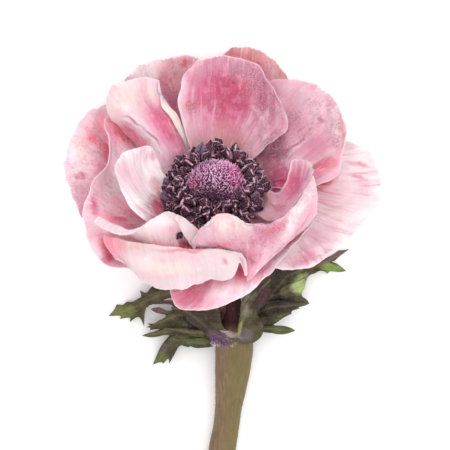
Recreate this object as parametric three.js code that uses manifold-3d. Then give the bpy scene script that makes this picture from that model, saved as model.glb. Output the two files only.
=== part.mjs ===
// A cut anemone flower, laid down: it rests on a back petal, its stem and its leaves.
// Millimetres, +Z up. X runs to the right of the flower and +Y from the stem's cut end to the bloom.
// The bloom's own axis leans between +Y and +Z, as the stem holds it.

import * as THREE from "three";
import { mergeVertices } from "three/addons/utils/BufferGeometryUtils.js";
import Module from "manifold-3d";

const wasm = await Module();
wasm.setup();

// Driving dimensions

const bloomTilt = THREE.MathUtils.degToRad(45);
const tableLevel = -17.5;
const receptaclePlace = [-1.9, 54.5, -tableLevel];

const petalThickness = 0.6;
const petalColumns = 9;
const petalRows = 11;
const clawRadius = 5.35;
const clawHalfWidth = 1.9;
const firstClawDrop = 0.6;
const clawStep = 0.9;

const stemSides = 12;
const receptacleRadius = 5.0;

const pistilSegments = 26;
const pistilStud = 0.35;

const stamenSides = 4;
const filamentRadius = 0.3;
const antherLength = 2.6;
const antherRadius = 0.72;

const leafThickness = 0.7;

const colours = {
  palePink: 0xecc3cc,
  midPink: 0xdf93a8,
  deepPink: 0xcf6c8b,
  stem: 0x8f8058,
  leaf: 0x4c5238,
  brightLeaf: 0x5d6a44,
  anther: 0x33222f,
  pistil: 0x9c4778,
};

// Places: a point is given as [right, up, height], where right and up are what the camera sees
// looking straight down, and height is along the bloom's axis from the receptacle's top.

function place([right, up, height]) {
  return new THREE.Vector3(right, up, height / Math.cos(bloomTilt) - up * Math.tan(bloomTilt));
}

// A smooth curve through hand-placed points, by fractions of its chord length

function curveThrough(points) {
  const last = points.length - 1;
  const knots = [0];
  for (let i = 1; i <= last; i++) {
    knots.push(knots[i - 1] + points[i].distanceTo(points[i - 1]));
  }
  const slope = (i) => points[i + 1].clone().sub(points[i]).divideScalar(knots[i + 1] - knots[i]);
  const tangents = points.map(() => null);
  for (let i = 1; i < last; i++) {
    const before = knots[i] - knots[i - 1];
    const after = knots[i + 1] - knots[i];
    tangents[i] = slope(i - 1).multiplyScalar(after).addScaledVector(slope(i), before);
    tangents[i].divideScalar(before + after);
  }
  tangents[0] = slope(0).multiplyScalar(1.5).addScaledVector(tangents[1], -0.5);
  tangents[last] = slope(last - 1).multiplyScalar(1.5).addScaledVector(tangents[last - 1], -0.5);
  return (fraction) => {
    const at = fraction * knots[last];
    let i = 0;
    while (i < last - 1 && knots[i + 1] <= at) {
      i += 1;
    }
    const span = knots[i + 1] - knots[i];
    const s = (at - knots[i]) / span;
    return points[i].clone().multiplyScalar((2 * s - 3) * s * s + 1)
      .addScaledVector(tangents[i], ((s - 2) * s + 1) * s * span)
      .addScaledVector(points[i + 1], (3 - 2 * s) * s * s)
      .addScaledVector(tangents[i + 1], (s - 1) * s * s * span);
  };
}

// Closed bodies

function closedBody(positions, triangles) {
  const geometry = new THREE.BufferGeometry();
  geometry.setAttribute("position", new THREE.Float32BufferAttribute(positions.flatMap((p) => p.toArray()), 3));
  geometry.setIndex(triangles.flat());
  return geometry;
}

// A grid's middle surface gets a face on each side of it and a rim. Both faces are split alike, and
// what would sink into the table lies flat on it.
function thinSheet(grid, thickness) {
  const rows = grid.length;
  const columns = grid[0].length;
  const half = thickness / 2;
  const middle = grid.map((row) => row.map((p) => p.clone().setZ(Math.max(p.z, tableLevel + half))));
  const sides = [1, -1].map((side) => middle.map((row, j) => row.map((p, i) => {
    const across = row[Math.min(i + 1, columns - 1)].clone().sub(row[Math.max(i - 1, 0)]);
    const along = middle[Math.min(j + 1, rows - 1)][i].clone().sub(middle[Math.max(j - 1, 0)][i]);
    const moved = p.clone().addScaledVector(across.cross(along).normalize(), side * half);
    const lies = p.z === tableLevel + half && moved.z < p.z;
    return moved.setZ(lies ? tableLevel : Math.max(moved.z, tableLevel));
  })));
  const index = (side, j, i) => (side * rows + j) * columns + i;
  const triangles = [];
  for (let j = 0; j < rows - 1; j++) {
    for (let i = 0; i < columns - 1; i++) {
      for (const side of [0, 1]) {
        const [a, b] = [index(side, j, i), index(side, j, i + 1)];
        const [c, d] = [index(side, j + 1, i + 1), index(side, j + 1, i)];
        triangles.push(side ? [a, c, b] : [a, b, c], side ? [a, d, c] : [a, c, d]);
      }
    }
  }
  const rim = [];
  for (let i = 0; i < columns - 1; i++) {
    rim.push([0, i]);
  }
  for (let j = 0; j < rows - 1; j++) {
    rim.push([j, columns - 1]);
  }
  for (let i = columns - 1; i > 0; i--) {
    rim.push([rows - 1, i]);
  }
  for (let j = rows - 1; j > 0; j--) {
    rim.push([j, 0]);
  }
  rim.forEach(([j, i], k) => {
    const [nextJ, nextI] = rim[(k + 1) % rim.length];
    const [a, b] = [index(0, j, i), index(0, nextJ, nextI)];
    const [c, d] = [index(1, nextJ, nextI), index(1, j, i)];
    triangles.push([a, c, b], [a, d, c]);
  });
  return closedBody(sides.flat(2), triangles);
}

// Rings of equal count are joined into a tube with flat ends.
function tubeOfRings(rings) {
  const sides = rings[0].length;
  const triangles = [];
  for (let k = 0; k < rings.length - 1; k++) {
    for (let i = 0; i < sides; i++) {
      const next = (i + 1) % sides;
      const [a, b] = [k * sides + i, k * sides + next];
      triangles.push([a, b, b + sides], [a, b + sides, a + sides]);
    }
  }
  const lastRing = (rings.length - 1) * sides;
  for (let i = 1; i < sides - 1; i++) {
    triangles.push([0, i + 1, i], [lastRing, lastRing + i, lastRing + i + 1]);
  }
  return closedBody(rings.flat(), triangles);
}

// Rings stand square to the path. A flat side of each faces away from the reference direction.
function sweep(stations, sides, reference) {
  const rings = stations.map(({ at, radius }, k) => {
    const ahead = stations[Math.min(k + 1, stations.length - 1)].at;
    const behind = stations[Math.max(k - 1, 0)].at;
    const along = ahead.clone().sub(behind).normalize();
    const left = reference.clone().cross(along).normalize();
    const up = along.clone().cross(left);
    return Array.from({ length: sides }, (unused, i) => {
      const turn = (2 * Math.PI * (i + 0.5)) / sides;
      return at.clone()
        .addScaledVector(left, radius * Math.sin(turn))
        .addScaledVector(up, -radius * Math.cos(turn));
    });
  });
  return tubeOfRings(rings);
}

// Boolean work

function toSolid(geometry) {
  const bare = geometry.clone();
  bare.deleteAttribute("normal");
  bare.deleteAttribute("uv");
  const merged = mergeVertices(bare);
  return new wasm.Manifold(new wasm.Mesh({
    numProp: 3,
    vertProperties: new Float32Array(merged.attributes.position.array),
    triVerts: new Uint32Array(merged.index.array),
  }));
}

function toGeometry(solid) {
  const mesh = solid.getMesh();
  const geometry = new THREE.BufferGeometry();
  const positions = [];
  for (let i = 0; i < mesh.vertProperties.length; i += mesh.numProp) {
    positions.push(...mesh.vertProperties.slice(i, i + 3));
  }
  geometry.setAttribute("position", new THREE.Float32BufferAttribute(positions, 3));
  geometry.setIndex(Array.from(mesh.triVerts));
  return geometry;
}

function finish(colour, roughness) {
  return new THREE.MeshStandardMaterial({ color: colour, roughness, metalness: 0, flatShading: true });
}

function piece(name, geometry, colour, roughness = 0.65) {
  const mesh = new THREE.Mesh(geometry, finish(colour, roughness));
  mesh.name = name;
  return mesh;
}

// Petals: turn is the claw's place round the axis, 0 at the front and positive to the right, and
// level counts the claws down the receptacle, from the innermost petal. Rows run from the claw to
// the tip, and a row's points run clockwise as the camera sees them.

const petals = {
  petal_back_inner: {
    turn: 180, level: 0, colour: colours.deepPink,
    rows: [
      [[-5.2, 10.2, 3.2], [0.5, 9.2, 1.0], [7.0, 9.4, 3.4]],
      [[-8.0, 18.3, 9.5], [1.5, 17.3, 5.6], [13.2, 14.6, 9.0]],
      [[-10.1, 27.0, 16.5], [2.5, 27.0, 12.8], [11.5, 25.0, 12.6], [19.4, 20.6, 14.6]],
      [[-8.6, 34.0, 21.5], [-3.5, 38.4, 23.8], [3.5, 38.8, 24.2], [9.6, 37.6, 23.0], [14.5, 31.6, 19.5],
        [17.8, 26.0, 17.0]],
    ],
  },
  petal_back_right: {
    turn: 140, level: 1, colour: colours.midPink,
    rows: [
      [[4.0, 9.2, -0.2], [7.8, 7.4, -0.5], [11.4, 3.6, 0.0]],
      [[6.5, 18.5, 5.0], [13.4, 14.2, 4.8], [20.4, 3.6, 4.8]],
      [[9.0, 27.5, 11.5], [18.5, 23.6, 11.4], [25.8, 15.4, 10.0], [28.0, 5.4, 10.0]],
      [[14.5, 33.0, 16.6], [22.0, 32.9, 19.0], [29.6, 29.8, 19.6], [34.0, 22.6, 17.6], [34.2, 14.0, 14.2],
        [32.2, 7.6, 11.4]],
    ],
  },
  petal_right_inner: {
    turn: 95, level: 0, colour: colours.deepPink,
    rows: [
      [[10.1, 4.0, 2.9], [11.2, 0.6, 1.5], [10.4, -3.0, 2.1]],
      [[17.4, 3.4, 9.6], [17.6, 0.2, 7.6], [15.5, -4.6, 6.6]],
      [[18.9, 6.6, 13.6], [21.2, 4.2, 12.2], [19.4, -2.0, 10.8]],
      [[20.0, 11.3, 17.0], [22.4, 11.5, 17.0], [24.0, 9.4, 15.8], [23.6, 6.2, 13.8]],
    ],
  },
  petal_front_right: {
    turn: 40, level: 2, colour: colours.palePink,
    rows: [
      [[12.0, -2.0, -0.2], [8.5, -6.6, -1.0], [2.5, -8.6, -0.8]],
      [[22.5, -3.0, 8.0], [16.0, -9.6, 6.6], [7.5, -12.0, 6.0], [-1.8, -12.0, 5.8]],
      [[25.8, 7.2, 14.2], [20.4, -1.6, 13.8], [14.4, -5.6, 13.6], [8.0, -5.4, 13.8], [2.1, -3.4, 15.2],
        [-3.6, -7.8, 12.6]],
      [[26.8, 3.0, 12.2], [22.8, -3.6, 11.4], [16.5, -8.6, 10.2], [10.2, -9.6, 10.0], [4.0, -9.0, 11.0],
        [-4.6, -9.9, 10.6]],
      [[27.0, -2.6, 9.6], [21.8, -8.2, 7.4], [17.6, -12.2, 5.4], [13.0, -16.2, 3.4], [9.2, -18.8, 2.2],
        [7.6, -14.3, 5.8], [3.4, -12.3, 7.8], [-4.4, -11.6, 8.8]],
    ],
  },
  petal_front_left: {
    turn: -40, level: 1, colour: colours.palePink,
    rows: [
      [[-3.4, -8.8, 0.6], [-8.0, -8.4, 0.4], [-12.2, -4.6, 1.2]],
      [[-3.6, -12.4, 3.6], [-11.0, -12.6, 4.0], [-18.5, -10.8, 4.4], [-24.0, -7.2, 5.6]],
      [[-3.2, -10.8, 5.4], [-9.5, -9.8, 6.4], [-18.5, -9.4, 6.8], [-27.5, -7.2, 7.6]],
      [[-3.7, -8.4, 8.4], [-6.2, -6.2, 10.4], [-10.4, -3.2, 12.8], [-12.8, -2.7, 13.2], [-17.2, -4.7, 11.8],
        [-22.2, -7.3, 10.0], [-27.0, -6.2, 9.8], [-31.4, -3.8, 11.8]],
      [[-5.6, -12.4, 6.6], [-8.2, -9.0, 8.8], [-10.6, -5.4, 11.6], [-13.2, -4.6, 11.8], [-17.6, -6.6, 10.4],
        [-22.6, -8.9, 9.0], [-27.6, -7.8, 9.4], [-32.4, -5.2, 11.2]],
    ],
  },
  petal_left_inner: {
    turn: -85, level: 0, colour: colours.palePink,
    rows: [
      [[-12.0, -4.4, 3.4], [-12.0, 0.0, 1.4], [-11.4, 4.6, 3.0]],
      [[-15.9, -3.7, 10.8], [-17.5, 3.0, 6.6], [-14.6, 9.2, 8.4]],
      [[-21.2, 0.4, 14.4], [-22.6, 6.6, 12.8], [-19.5, 11.6, 12.6], [-15.5, 11.6, 10.8]],
      [[-24.8, 5.0, 16.2], [-26.8, 9.6, 17.4], [-24.8, 13.0, 17.4], [-20.4, 14.7, 15.6], [-17.2, 14.9, 13.4],
        [-15.8, 12.8, 11.6]],
    ],
  },
  petal_left_upper: {
    turn: -135, level: 1, colour: colours.midPink,
    rows: [
      [[-15.0, 6.2, 1.6], [-12.6, 8.2, 3.2], [-9.0, 8.4, 0.6], [-5.0, 9.6, 1.2]],
      [[-19.5, 13.0, 5.0], [-15.9, 15.2, 8.0], [-11.5, 14.6, 5.6], [-6.8, 15.4, 5.0]],
      [[-24.6, 19.2, 10.0], [-20.6, 20.6, 13.2], [-15.4, 21.6, 11.8], [-12.0, 21.6, 12.0], [-9.3, 20.4, 9.6]],
      [[-27.8, 22.4, 13.8], [-25.6, 23.6, 16.6], [-20.0, 28.4, 17.6], [-15.2, 27.0, 16.8], [-12.8, 26.2, 15.2]],
      [[-29.0, 23.8, 15.8], [-29.3, 27.6, 18.4], [-28.3, 30.4, 19.8], [-24.4, 32.3, 21.0], [-19.5, 33.4, 21.6],
        [-16.2, 33.2, 21.2], [-15.4, 29.4, 19.4]],
    ],
  },
  petal_back_left: {
    turn: -160, level: 3, colour: colours.midPink,
    rows: [
      [[-9.4, 8.6, -1.4], [-4.6, 9.6, -1.8], [1.0, 10.2, -1.6]],
      [[-18.6, 18.6, 3.6], [-8.0, 19.6, 4.4], [1.5, 19.4, 3.6]],
      [[-23.0, 26.6, 9.6], [-12.0, 29.6, 11.8], [-1.0, 29.6, 10.8]],
      [[-24.6, 31.6, 14.4], [-19.4, 36.6, 17.8], [-13.0, 38.2, 18.6], [-7.4, 39.0, 18.8], [-2.0, 36.6, 17.0]],
    ],
  },
  petal_front_low_left: {
    turn: -20, level: 3, colour: colours.palePink,
    rows: [
      [[1.5, -9.6, -2.6], [-4.5, -9.6, -2.4], [-9.5, -6.8, -1.6]],
      [[4.5, -16.8, 1.6], [-7.0, -18.0, 2.0], [-20.0, -12.6, 2.2]],
      [[6.9, -13.6, 8.8], [1.5, -12.7, 10.3], [-5.0, -12.6, 10.5], [-12.0, -11.9, 10.3], [-19.0, -11.2, 9.8],
        [-24.2, -10.8, 8.8], [-29.8, -8.8, 7.0]],
      [[7.9, -15.6, 6.6], [1.5, -16.0, 9.2], [-8.0, -16.4, 9.4], [-18.0, -15.4, 8.6], [-24.4, -13.6, 7.2],
        [-29.4, -10.8, 6.4]],
      [[8.1, -19.6, 2.8], [3.0, -19.4, 4.8], [-1.5, -20.4, 4.8], [-7.0, -22.4, 4.2], [-15.0, -22.8, 3.6],
        [-20.5, -19.8, 4.4], [-24.0, -16.4, 5.2], [-26.6, -15.0, 5.4]],
    ],
  },
  petal_back_low: {
    turn: 165, level: 4, colour: colours.midPink,
    rows: [
      [[-2.4, 10.2, -2.8], [3.8, 10.4, -2.8], [9.6, 8.6, -2.6]],
      [[-4.5, 20.6, 2.6], [7.0, 20.4, 2.15], [17.6, 16.4, 1.6]],
      [[-5.0, 30.6, 9.9], [8.4, 31.0, 9.5], [20.0, 26.0, 7.6]],
      [[-2.5, 36.6, 14.2], [2.0, 39.6, 16.8], [6.4, 41.4, 18.2], [12.4, 39.8, 17.0], [16.0, 37.2, 15.0],
        [19.4, 32.6, 12.4]],
    ],
  },
  petal_left_low: {
    turn: -65, level: 4, colour: colours.midPink,
    rows: [
      [[-7.6, -7.4, -3.0], [-12.0, -5.0, -2.8], [-12.6, 1.0, -2.8]],
      [[-13.4, -12.0, -2.0], [-21.0, -5.6, 1.2], [-18.6, 8.0, 0.0]],
      [[-19.5, -15.5, -0.2], [-28.6, -6.6, 5.0], [-30.0, 5.0, 7.0], [-21.5, 16.5, 4.2]],
      [[-22.6, -17.5, 1.0], [-27.8, -16.9, 3.0], [-33.8, -10.2, 6.6], [-35.0, -2.4, 9.6], [-33.2, 4.6, 11.6],
        [-28.4, 12.4, 10.2], [-29.0, 17.4, 11.0], [-29.8, 22.4, 11.6], [-24.5, 23.5, 8.4]],
    ],
  },
  petal_front_low: {
    turn: 15, level: 4, colour: colours.deepPink,
    rows: [
      [[7.6, -9.2, -3.8], [1.8, -10.8, -3.8], [-4.6, -10.6, -3.8]],
      [[17.0, -9.6, -0.4], [5.0, -16.6, -2.4], [-7.6, -17.0, -2.4]],
      [[23.4, -7.4, 4.6], [15.4, -14.0, 1.0], [5.6, -20.6, -1.2], [-9.4, -22.2, -2.2]],
      [[26.8, -4.0, 7.4], [20.4, -11.4, 3.8], [13.4, -19.6, 0.2], [6.4, -25.2, -2.0], [-1.0, -28.0, -3.2],
        [-10.0, -27.7, -3.6], [-12.0, -23.0, -3.0]],
    ],
  },
  petal_left_far: {
    turn: -105, level: 5, colour: colours.palePink,
    rows: [
      [[-11.4, -1.4, -4.3], [-11.8, 2.4, -4.3], [-9.4, 6.6, -4.2]],
      [[-22.0, 0.0, -0.6], [-22.6, 6.4, 0.0], [-18.6, 14.0, -0.4]],
      [[-31.6, 0.0, 3.6], [-32.0, 9.4, 4.6], [-26.0, 19.6, 3.4]],
      [[-35.6, -4.4, 6.0], [-37.8, 1.0, 7.4], [-40.4, 9.4, 8.6], [-38.4, 18.0, 9.4], [-34.0, 24.6, 9.4],
        [-28.6, 26.6, 8.0]],
    ],
  },
  petal_right_low: {
    turn: 80, level: 5, colour: colours.palePink,
    rows: [
      [[10.0, 7.0, -4.6], [12.4, 0.6, -4.8], [10.8, -6.0, -4.8]],
      [[20.0, 12.6, -1.6], [22.8, 0.6, -2.6], [13.8, -11.2, -4.4]],
      [[28.4, 15.8, 2.4], [33.0, 1.6, 0.4], [27.0, -10.5, -1.2], [14.6, -14.6, -3.4]],
      [[34.0, 16.8, 6.0], [40.4, 14.2, 5.0], [43.8, 7.0, 3.4], [43.4, -0.6, 2.2], [38.0, -6.6, 1.2],
        [31.0, -13.4, 0.2], [22.6, -17.6, -0.2], [15.6, -17.4, -1.4]],
    ],
  },
};

// The row where a petal starts, square against the receptacle's side
function clawRow({ turn, level }) {
  const angle = THREE.MathUtils.degToRad(turn);
  const [outRight, outBack] = [Math.sin(angle), -Math.cos(angle)];
  const height = -firstClawDrop - clawStep * level;
  return [-clawHalfWidth, 0, clawHalfWidth].map((aside) => {
    const right = outRight * clawRadius + outBack * aside;
    const back = outBack * clawRadius - outRight * aside;
    return [right, Math.cos(bloomTilt) * (back + height), height];
  });
}

function buildPetal(petal) {
  const curves = [clawRow(petal), ...petal.rows].map((row) => curveThrough(row.map(place)));
  const columns = Array.from({ length: petalColumns + 1 }, (unused, i) => (
    curveThrough(curves.map((curve) => curve(i / petalColumns)))
  ));
  const grid = Array.from({ length: petalRows + 1 }, (unused, j) => (
    columns.map((column) => column(j / petalRows))
  ));
  return thinSheet(grid, petalThickness);
}

// Stem: the scape lies along the table, bends up as the pedicel and widens into the receptacle.

const stemCourse = [
  { right: -5.9, up: -150.0, radius: 3.5 },
  { right: -3.4, up: -125.0, radius: 3.6 },
  { right: -0.9, up: -95.0, radius: 3.6 },
  { right: 0.9, up: -75.0, radius: 3.6 },
  { right: 1.8, up: -65.0, radius: 3.6 },
  { right: 2.7, up: -60.0, radius: 3.4 },
  { right: 3.3, up: -55.0, radius: 3.5 },
  { right: 3.9, up: -50.0, radius: 4.1 },
  { right: 4.4, up: -45.0, radius: 4.65 },
  { right: 4.8, up: -40.0, radius: 5.0 },
  { right: 4.9, up: -36.5, radius: 5.0 },
];
const pedicelCourse = [
  { at: [4.8, -34.0, -12.5], radius: 4.0 },
  { at: [4.6, -31.0, -12.4], radius: 3.0 },
  { at: [3.6, -25.0, -12.2], radius: 2.7 },
  { at: [2.0, -17.5, -11.2], radius: 2.7 },
  { at: [0.8, -11.2, -9.2], radius: 2.7 },
];
const receptacleProfile = [[-8.8, 2.9], [-7.2, 3.9], [-6.2, 4.8], [-5.5, receptacleRadius], [0, receptacleRadius]];

function buildStem() {
  const flatSide = Math.cos(Math.PI / stemSides);
  const scape = stemCourse.map(({ right, up, radius }) => (
    { at: new THREE.Vector3(right, up, tableLevel + radius * flatSide), radius }
  ));
  const pedicel = pedicelCourse.map(({ at, radius }) => ({ at: new THREE.Vector3(...at), radius }));
  const receptacle = receptacleProfile.map(([height, radius]) => (
    { at: new THREE.Vector3(0, Math.sin(bloomTilt), Math.cos(bloomTilt)).multiplyScalar(height), radius }
  ));
  return sweep([...scape, ...pedicel, ...receptacle], stemSides, new THREE.Vector3(0, 0, 1));
}

// Pistil: a dome of seed heads on a short neck, studded all over. Its group turns +Z into the axis.

const pistilProfile = [
  [3.3, 0.3], [3.4, 1.8], [4.6, 2.6], [6.0, 3.7], [7.0, 5.1], [7.4, 6.7], [7.1, 8.2], [6.3, 9.5], [5.1, 10.6],
  [3.6, 11.3], [2.0, 11.7], [0.7, 11.8],
];

function buildPistil() {
  const rings = pistilProfile.map(([radius, height], k) => (
    Array.from({ length: pistilSegments }, (unused, i) => {
      const turn = (2 * Math.PI * i) / pistilSegments;
      const studded = k > 2 && k < pistilProfile.length - 1 && (i + k) % 2 === 0;
      const wide = radius + (studded ? pistilStud : 0);
      const high = height + (studded && k > 6 ? pistilStud : 0);
      return new THREE.Vector3(wide * Math.cos(turn), wide * Math.sin(turn), high);
    })
  ));
  return tubeOfRings(rings);
}

// Stamens: three rounds of filaments rise from a ring round the pistil's neck. The back ones stand
// up and the front ones spread, as the bloom's tilt lets them.

const stamenRing = { inner: 3.7, outer: 5.0, low: 0.3, high: 1.5 };
const stamenRounds = [
  { count: 17, reach: 9.0, rise: 6.8, lean: 1.8, start: 0.1 },
  { count: 20, reach: 10.9, rise: 7.4, lean: 2.6, start: 0.5 },
  { count: 22, reach: 12.5, rise: 6.4, lean: 3.2, start: 0.3 },
];

function buildStamen(angle, reach, height) {
  const outward = new THREE.Vector3(Math.sin(angle), -Math.cos(angle), 0);
  const up = new THREE.Vector3(0, 0, 1);
  const at = (radius, level) => outward.clone().multiplyScalar(radius).addScaledVector(up, level);
  const path = new THREE.QuadraticBezierCurve3(at(4.4, 0.9), at(reach * 0.62 + 2.2, 1.6), at(reach, height));
  const tip = path.getPoint(1);
  const along = path.getTangent(1).multiplyScalar(antherLength);
  const stations = [0, 0.35, 0.7, 0.96].map((t) => ({ at: path.getPoint(t), radius: filamentRadius }));
  stations.push({ at: tip.clone().addScaledVector(along, 0.25), radius: antherRadius });
  stations.push({ at: tip.clone().addScaledVector(along, 0.7), radius: antherRadius * 0.9 });
  stations.push({ at: tip.clone().add(along), radius: filamentRadius * 0.8 });
  return sweep(stations, stamenSides, outward.clone().cross(up));
}

function buildStamens() {
  const { inner, outer, low, high } = stamenRing;
  const ringProfile = [[inner, low], [outer, low], [outer, high], [inner, high], [inner, low]];
  const ring = new THREE.LatheGeometry(ringProfile.map(([r, h]) => new THREE.Vector2(r, h)), 20);
  ring.rotateX(Math.PI / 2);
  let solid = toSolid(ring);
  for (const { count, reach, rise, lean, start } of stamenRounds) {
    for (let i = 0; i < count; i++) {
      const angle = (2 * Math.PI * (i + start)) / count;
      const uneven = Math.sin(i * 2.4 + reach);
      const height = rise - lean * Math.cos(angle) + 0.6 * uneven;
      solid = solid.add(toSolid(buildStamen(angle, reach + 0.5 * uneven, height)));
    }
  }
  return toGeometry(solid);
}

// Leaves: each is cut to its toothed outline from a thin arched blade. Outline points are
// [right, up], and a blade's height is its height over the table.

const collar = new THREE.Vector2(4.6, -36.0);
const collarHeight = 4.6;
const leafReach = 34;
const saddleTop = 10.4;
const saddleStoop = 0.036;
const saddleFade = 0.12;
const saddleRise = 0.16;

// A side leaf leaves the stem on a slope, rises in a hump and droops towards its tips.
function droopingBlade(slope, hump, droop) {
  return (right, up) => {
    const far = collar.distanceTo(new THREE.Vector2(right, up));
    const arch = hump * Math.sin((Math.PI * far) / leafReach) - droop * far * far;
    return collarHeight + slope * (up - collar.y) + arch;
  };
}

// The front leaf bends down over both sides of the stem and flattens as it climbs to the bloom.
function saddleBlade(right, up) {
  const stoop = saddleStoop * (right - collar.x) ** 2 * Math.exp(-saddleFade * (up - collar.y + 2));
  return saddleTop - stoop + saddleRise * Math.max(up - collar.y - 2, 0);
}

const leaves = {
  leaf_left: {
    colour: colours.leaf,
    corners: [-30.5, -45.0, -0.4, -20.5],
    height: droopingBlade(0.3, 2.4, 0.0085),
    outline: [
      [-0.5, -37.8], [-2.5, -38.2], [-5.0, -37.8], [-8.0, -38.0], [-10.0, -38.3], [-10.8, -40.0], [-12.6, -43.2],
      [-12.7, -41.4], [-14.1, -43.1], [-14.9, -42.6], [-17.0, -43.4], [-16.0, -41.0], [-15.0, -38.6],
      [-13.6, -36.8], [-12.2, -35.2], [-13.5, -35.3], [-16.0, -36.0], [-18.0, -36.1], [-20.0, -35.6],
      [-18.3, -34.9], [-16.0, -34.4], [-14.4, -34.0], [-16.2, -33.8], [-17.9, -34.2], [-17.5, -33.5],
      [-18.9, -33.3], [-17.5, -32.9], [-18.6, -32.3], [-16.6, -32.4], [-15.2, -32.2], [-14.0, -31.2],
      [-13.2, -30.0], [-14.5, -29.8], [-16.4, -29.4], [-17.6, -28.4], [-15.5, -27.8], [-14.4, -28.2],
      [-13.0, -29.0], [-10.6, -28.3], [-12.4, -27.0], [-15.5, -27.2], [-18.4, -27.1], [-19.2, -29.5],
      [-19.3, -33.2], [-20.4, -30.6], [-21.4, -30.6], [-23.2, -32.0], [-22.9, -30.6], [-25.9, -31.2],
      [-25.3, -30.2], [-28.9, -30.4], [-27.4, -28.8], [-26.7, -27.3], [-25.0, -27.5], [-24.0, -26.4],
      [-22.5, -26.7], [-20.9, -25.6], [-19.9, -25.2], [-20.5, -23.4], [-18.7, -24.3], [-17.8, -23.0],
      [-16.8, -22.0], [-15.4, -22.5], [-13.5, -22.4], [-11.2, -22.0], [-7.5, -21.5], [-5.0, -24.5],
      [-2.6, -28.5], [-0.9, -33.5],
    ],
    gap: [[-15.8, -25.5], [-14.4, -26.1], [-11.0, -26.0], [-11.4, -24.6], [-13.2, -24.3]],
  },
  leaf_right: {
    colour: colours.leaf,
    corners: [8.2, -38.0, 36.5, -11.5],
    height: droopingBlade(0.16, 2.2, 0.0072),
    outline: [
      [10.1, -37.6], [11.2, -36.6], [12.2, -35.4], [12.9, -33.6], [14.2, -34.4], [15.5, -35.1], [17.5, -35.3],
      [19.5, -35.0], [21.3, -34.2], [19.8, -33.3], [17.5, -32.8], [15.0, -32.9], [16.5, -31.9], [18.3, -30.6],
      [20.2, -29.8], [20.2, -28.9], [22.4, -28.3], [21.2, -27.2], [22.6, -27.2], [25.1, -27.1], [24.5, -25.9],
      [22.8, -25.0], [23.3, -22.8], [24.7, -19.4], [26.7, -18.9], [27.5, -18.2], [29.0, -18.2], [29.9, -19.0],
      [30.6, -18.2], [32.7, -18.6], [35.0, -18.3], [33.2, -16.7], [31.3, -15.8], [29.6, -15.9], [32.0, -14.9],
      [34.0, -13.7], [35.8, -12.4], [34.4, -12.7], [32.8, -12.7], [32.0, -13.5], [30.0, -14.6], [27.5, -15.6],
      [24.0, -15.6], [19.0, -15.8], [14.0, -17.5], [10.0, -21.5], [8.6, -26.0], [8.6, -30.0], [9.8, -33.6],
    ],
  },
  leaf_front: {
    colour: colours.brightLeaf,
    corners: [-11.0, -38.8, 15.5, -19.0],
    height: saddleBlade,
    outline: [
      [-1.6, -36.6], [0.4, -37.8], [2.2, -38.3], [4.0, -37.2], [6.2, -37.6], [8.8, -37.7], [11.0, -37.0],
      [12.5, -35.4], [12.8, -33.4], [12.0, -31.2], [10.9, -29.6], [11.8, -28.2], [13.4, -27.0], [14.8, -24.4],
      [14.4, -21.6], [13.4, -20.6], [11.0, -21.6], [8.5, -23.8], [6.8, -25.6], [6.4, -29.5], [6.0, -33.2],
      [4.4, -34.8], [2.2, -34.0], [1.2, -31.4], [0.8, -28.0], [-0.4, -25.0], [-3.6, -23.6], [-7.4, -24.6],
      [-9.8, -26.6], [-8.8, -29.4], [-7.8, -31.6], [-5.0, -33.4], [-3.0, -34.8],
    ],
  },
};
const leafCell = 2.4;
const cutterDepth = 60;

function leafBlade({ corners, height }) {
  const [left, front, right, back] = corners;
  const columns = Math.round((right - left) / leafCell);
  const rows = Math.round((back - front) / leafCell);
  const grid = Array.from({ length: rows + 1 }, (unusedRow, j) => (
    Array.from({ length: columns + 1 }, (unusedColumn, i) => {
      const x = left + ((right - left) * i) / columns;
      const y = front + ((back - front) * j) / rows;
      return new THREE.Vector3(x, y, tableLevel + height(x, y));
    })
  ));
  return thinSheet(grid, leafThickness);
}

function buildLeaf(leaf) {
  const toPoints = (list) => list.map(([x, y]) => new THREE.Vector2(x, y));
  const shape = new THREE.Shape(toPoints(leaf.outline));
  if (leaf.gap) {
    shape.holes.push(new THREE.Path(toPoints(leaf.gap)));
  }
  const cutter = new THREE.ExtrudeGeometry(shape, { depth: cutterDepth, bevelEnabled: false });
  cutter.translate(0, 0, tableLevel - cutterDepth / 3);
  return toGeometry(toSolid(leafBlade(leaf)).intersect(toSolid(cutter)));
}

// Assembly

const flower = new THREE.Group();
flower.position.set(...receptaclePlace);
flower.add(piece("stem", buildStem(), colours.stem, 0.7));
for (const [name, petal] of Object.entries(petals)) {
  flower.add(piece(name, buildPetal(petal), petal.colour));
}
for (const [name, leaf] of Object.entries(leaves)) {
  flower.add(piece(name, buildLeaf(leaf), leaf.colour, 0.75));
}
const heart = new THREE.Group();
heart.rotation.x = -bloomTilt;
heart.add(piece("stamens", buildStamens(), colours.anther, 0.8));
heart.add(piece("pistil", buildPistil(), colours.pistil, 0.8));
flower.add(heart);

const group = new THREE.Group();
group.add(flower);

export default group;
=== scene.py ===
# The looks of a cut anemone flower that lies on a pale surface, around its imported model.
import math
import random

import bpy
import numpy as np
from mathutils import Matrix, Vector


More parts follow.
